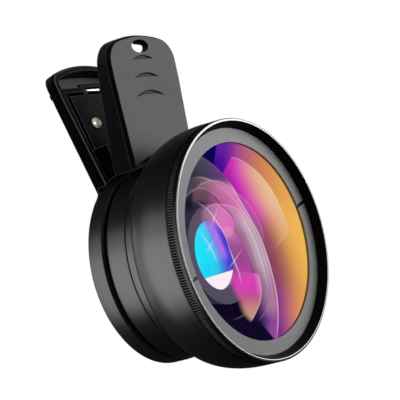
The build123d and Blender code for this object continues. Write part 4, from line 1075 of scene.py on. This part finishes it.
def make_cover_screw(number):
    """A domed nickel screw head, turned about the cover's own normal: a quarter ellipse, wide by high.

    It stands on the cover, sunk below the pin's level, at its place up the handle.
    """
    wide, high, sunk, up_handle = 1.22, 0.8, 1.7, 10.4
    corner, far_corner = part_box(f"cover_screw_{number}")
    aside = (corner[0] + far_corner[0]) / (2 * MM)
    foot = PIN - AHEAD * sunk + ALONG * up_handle + Vector((aside, 0, 0))
    t = np.linspace(math.pi / 2, 0, 16)
    head = np.stack([wide * np.cos(t), 0.12 + high * np.sin(t)], 1)
    profile = np.concatenate([head, [(wide, 0.05), (wide - 0.05, 0.0), (0.6, 0.0), (0.58, -1.2), (0.0, -1.2)]])
    profile[0, 0] = 0.0
    screw = crowned(f"cover_screw_{number}_domed", profile, 48, ["screw_nickel"], "clip_rear",
                    [f"cover_screw_{number}"])
    across, out, up = points_of(screw).T
    place_points(screw, np.outer(across, (1, 0, 0)) + np.outer(up, ALONG) + np.outer(out, AHEAD) + np.array(foot))


def make_torsion_spring():
    """The spring's own wire: a copy of the imported spring with its doubled points merged and the wire finish, in the
    spring's place.
    """
    mesh = nodes["torsion_spring"].data.copy()
    shape = bmesh.new()
    shape.from_mesh(mesh)
    bmesh.ops.remove_doubles(shape, verts=shape.verts, dist=1e-6)
    shape.to_mesh(mesh)
    shape.free()
    mesh.materials.clear()
    mesh.materials.append(finishes["spring_wire"])
    mesh.shade_smooth()
    spring = bpy.data.objects.new("torsion_spring_wire", mesh)
    bpy.context.scene.collection.objects.link(spring)
    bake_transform(spring)
    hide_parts("torsion_spring")


make_cover_screw(1)
make_cover_screw(2)
make_torsion_spring()


# Stage and light
def make_floor():
    """A round pale floor well below the lens, a flat disc."""
    sides, reach, level = 96, 1.6, -0.075
    a = np.linspace(0, 2 * math.pi, sides, endpoint=False)
    verts = np.stack([reach * np.cos(a), reach * np.sin(a), np.full(sides, level)], 1)
    mesh = bpy.data.meshes.new("floor")
    mesh.from_pydata(verts.tolist(), [], [list(range(sides))])
    floor = bpy.data.objects.new("floor", mesh)
    bpy.context.scene.collection.objects.link(floor)
    tree, shader = start_material("pale_floor")
    settle(shader, Roughness=0.9, Specular_IOR_Level=0.1, Emission_Color=(1, 1, 1, 1))
    seen = tree.nodes.new("ShaderNodeLightPath").outputs["Is Camera Ray"]
    tree.links.new(times(tree, seen, 0.45), shader.inputs["Emission Strength"])
    tree.links.new(mixed_colour(tree, seen, (0.03, 0.03, 0.03), (0.86, 0.86, 0.86)), shader.inputs["Base Color"])
    mesh.materials.append(finishes["pale_floor"])


def make_world():
    """White for the camera and for glass, dim grey for everything that only lights or mirrors."""
    world = bpy.data.worlds.new("tent")
    bpy.context.scene.world = world
    world.use_nodes = True
    tree = world.node_tree
    path = tree.nodes.new("ShaderNodeLightPath")
    seen = math_node(tree, "MAXIMUM", path.outputs["Is Camera Ray"], path.outputs["Is Transmission Ray"])
    glossy = times(tree, path.outputs["Is Glossy Ray"], 0.02)
    diffuse = times(tree, path.outputs["Is Diffuse Ray"], 0.12)
    strength = math_node(tree, "MAXIMUM", seen, math_node(tree, "ADD", glossy, diffuse))
    background = tree.nodes["Background"]
    background.inputs["Color"].default_value = (1, 1, 1, 1)
    tree.links.new(strength, background.inputs["Strength"])


def softbox(name, place, aim, width, height, brightness, leaves_out=(), only=()):
    """A soft rectangular lamp at a place, facing a point, with a given brightness per area.

    The power of such a lamp is its brightness times its area times pi. leaves_out names pieces
    that a flag keeps it off, and only names the few that a snoot lets it reach.
    """
    lamp = bpy.data.lights.new(name, "AREA")
    lamp.shape, lamp.size, lamp.size_y = "RECTANGLE", width, height
    lamp.energy = brightness * width * height * math.pi
    holder = bpy.data.objects.new(name, lamp)
    bpy.context.scene.collection.objects.link(holder)
    holder.location = place
    holder.rotation_mode = "QUATERNION"
    holder.rotation_quaternion = (Vector(aim) - Vector(place)).to_track_quat("-Z", "Y")
    holder.visible_camera = False
    if leaves_out or only:
        lit = bpy.data.collections.new(name + "_lights")
        for piece in bpy.context.scene.objects:
            if piece.type == "MESH" and piece.name not in leaves_out and (not only or piece.name in only):
                lit.objects.link(piece)
        holder.light_linking.receiver_collection = lit
    return holder


make_floor()
make_world()
off_handles = ("front_glass", "floor", "front_arm", "rear_arm", "spring_cover", "torsion_spring_wire", "hinge_pin",
               "inner_cell", "inner_glass")
off_barrels = ("front_glass", "close_up_lens", "wide_barrel_turned", "grip_ring_knurled")
on_fittings = ("cover_screw_1_domed", "cover_screw_2_domed", "torsion_spring_wire")
left_of_barrel = (-0.022, -0.02, -0.002)
softbox("front_right_box", (0.399, -0.31, 0.079), (0, -0.01, 0.012), 0.42, 0.46, 3.2, ("front_glass",))
softbox("rear_left_panel", (-0.074, 0.016, -0.012), left_of_barrel, 0.07, 0.07, 1.5, off_handles)
softbox("rear_left_sheet", (-0.078, 0.018, -0.007), left_of_barrel, 0.08, 0.124, 1.5, off_handles)
softbox("far_rear_panel", (-0.045, 0.16, 0.0), (-0.024, -0.015, 0.0), 0.09, 0.125, 1.1, off_handles)
softbox("front_fill", (-0.05, -0.62, 0.10), (0, -0.02, 0), 0.34, 0.34, 0.9, ("front_glass",))
softbox("top_box", (0.12, -0.28, 0.52), (0, -0.01, 0), 0.4, 0.3, 0.35, ("rear_arm", "grip_ring_knurled"))
softbox("screw_light", (-0.30, -0.36, 0.10), (0, -0.002, 0.033), 0.11, 0.11, 70.0, only=on_fittings)
softbox("rear_right_box", (0.42, 0.36, 0.12), (0, -0.01, 0.01), 0.3, 0.4, 0.9, off_barrels)
softbox("back_box", (0.06, 0.62, 0.22), (0, 0, 0.01), 0.5, 0.42, 2.4,
        (*off_barrels, "inner_glass", "floor", "close_up_skin", "ring_skin"))
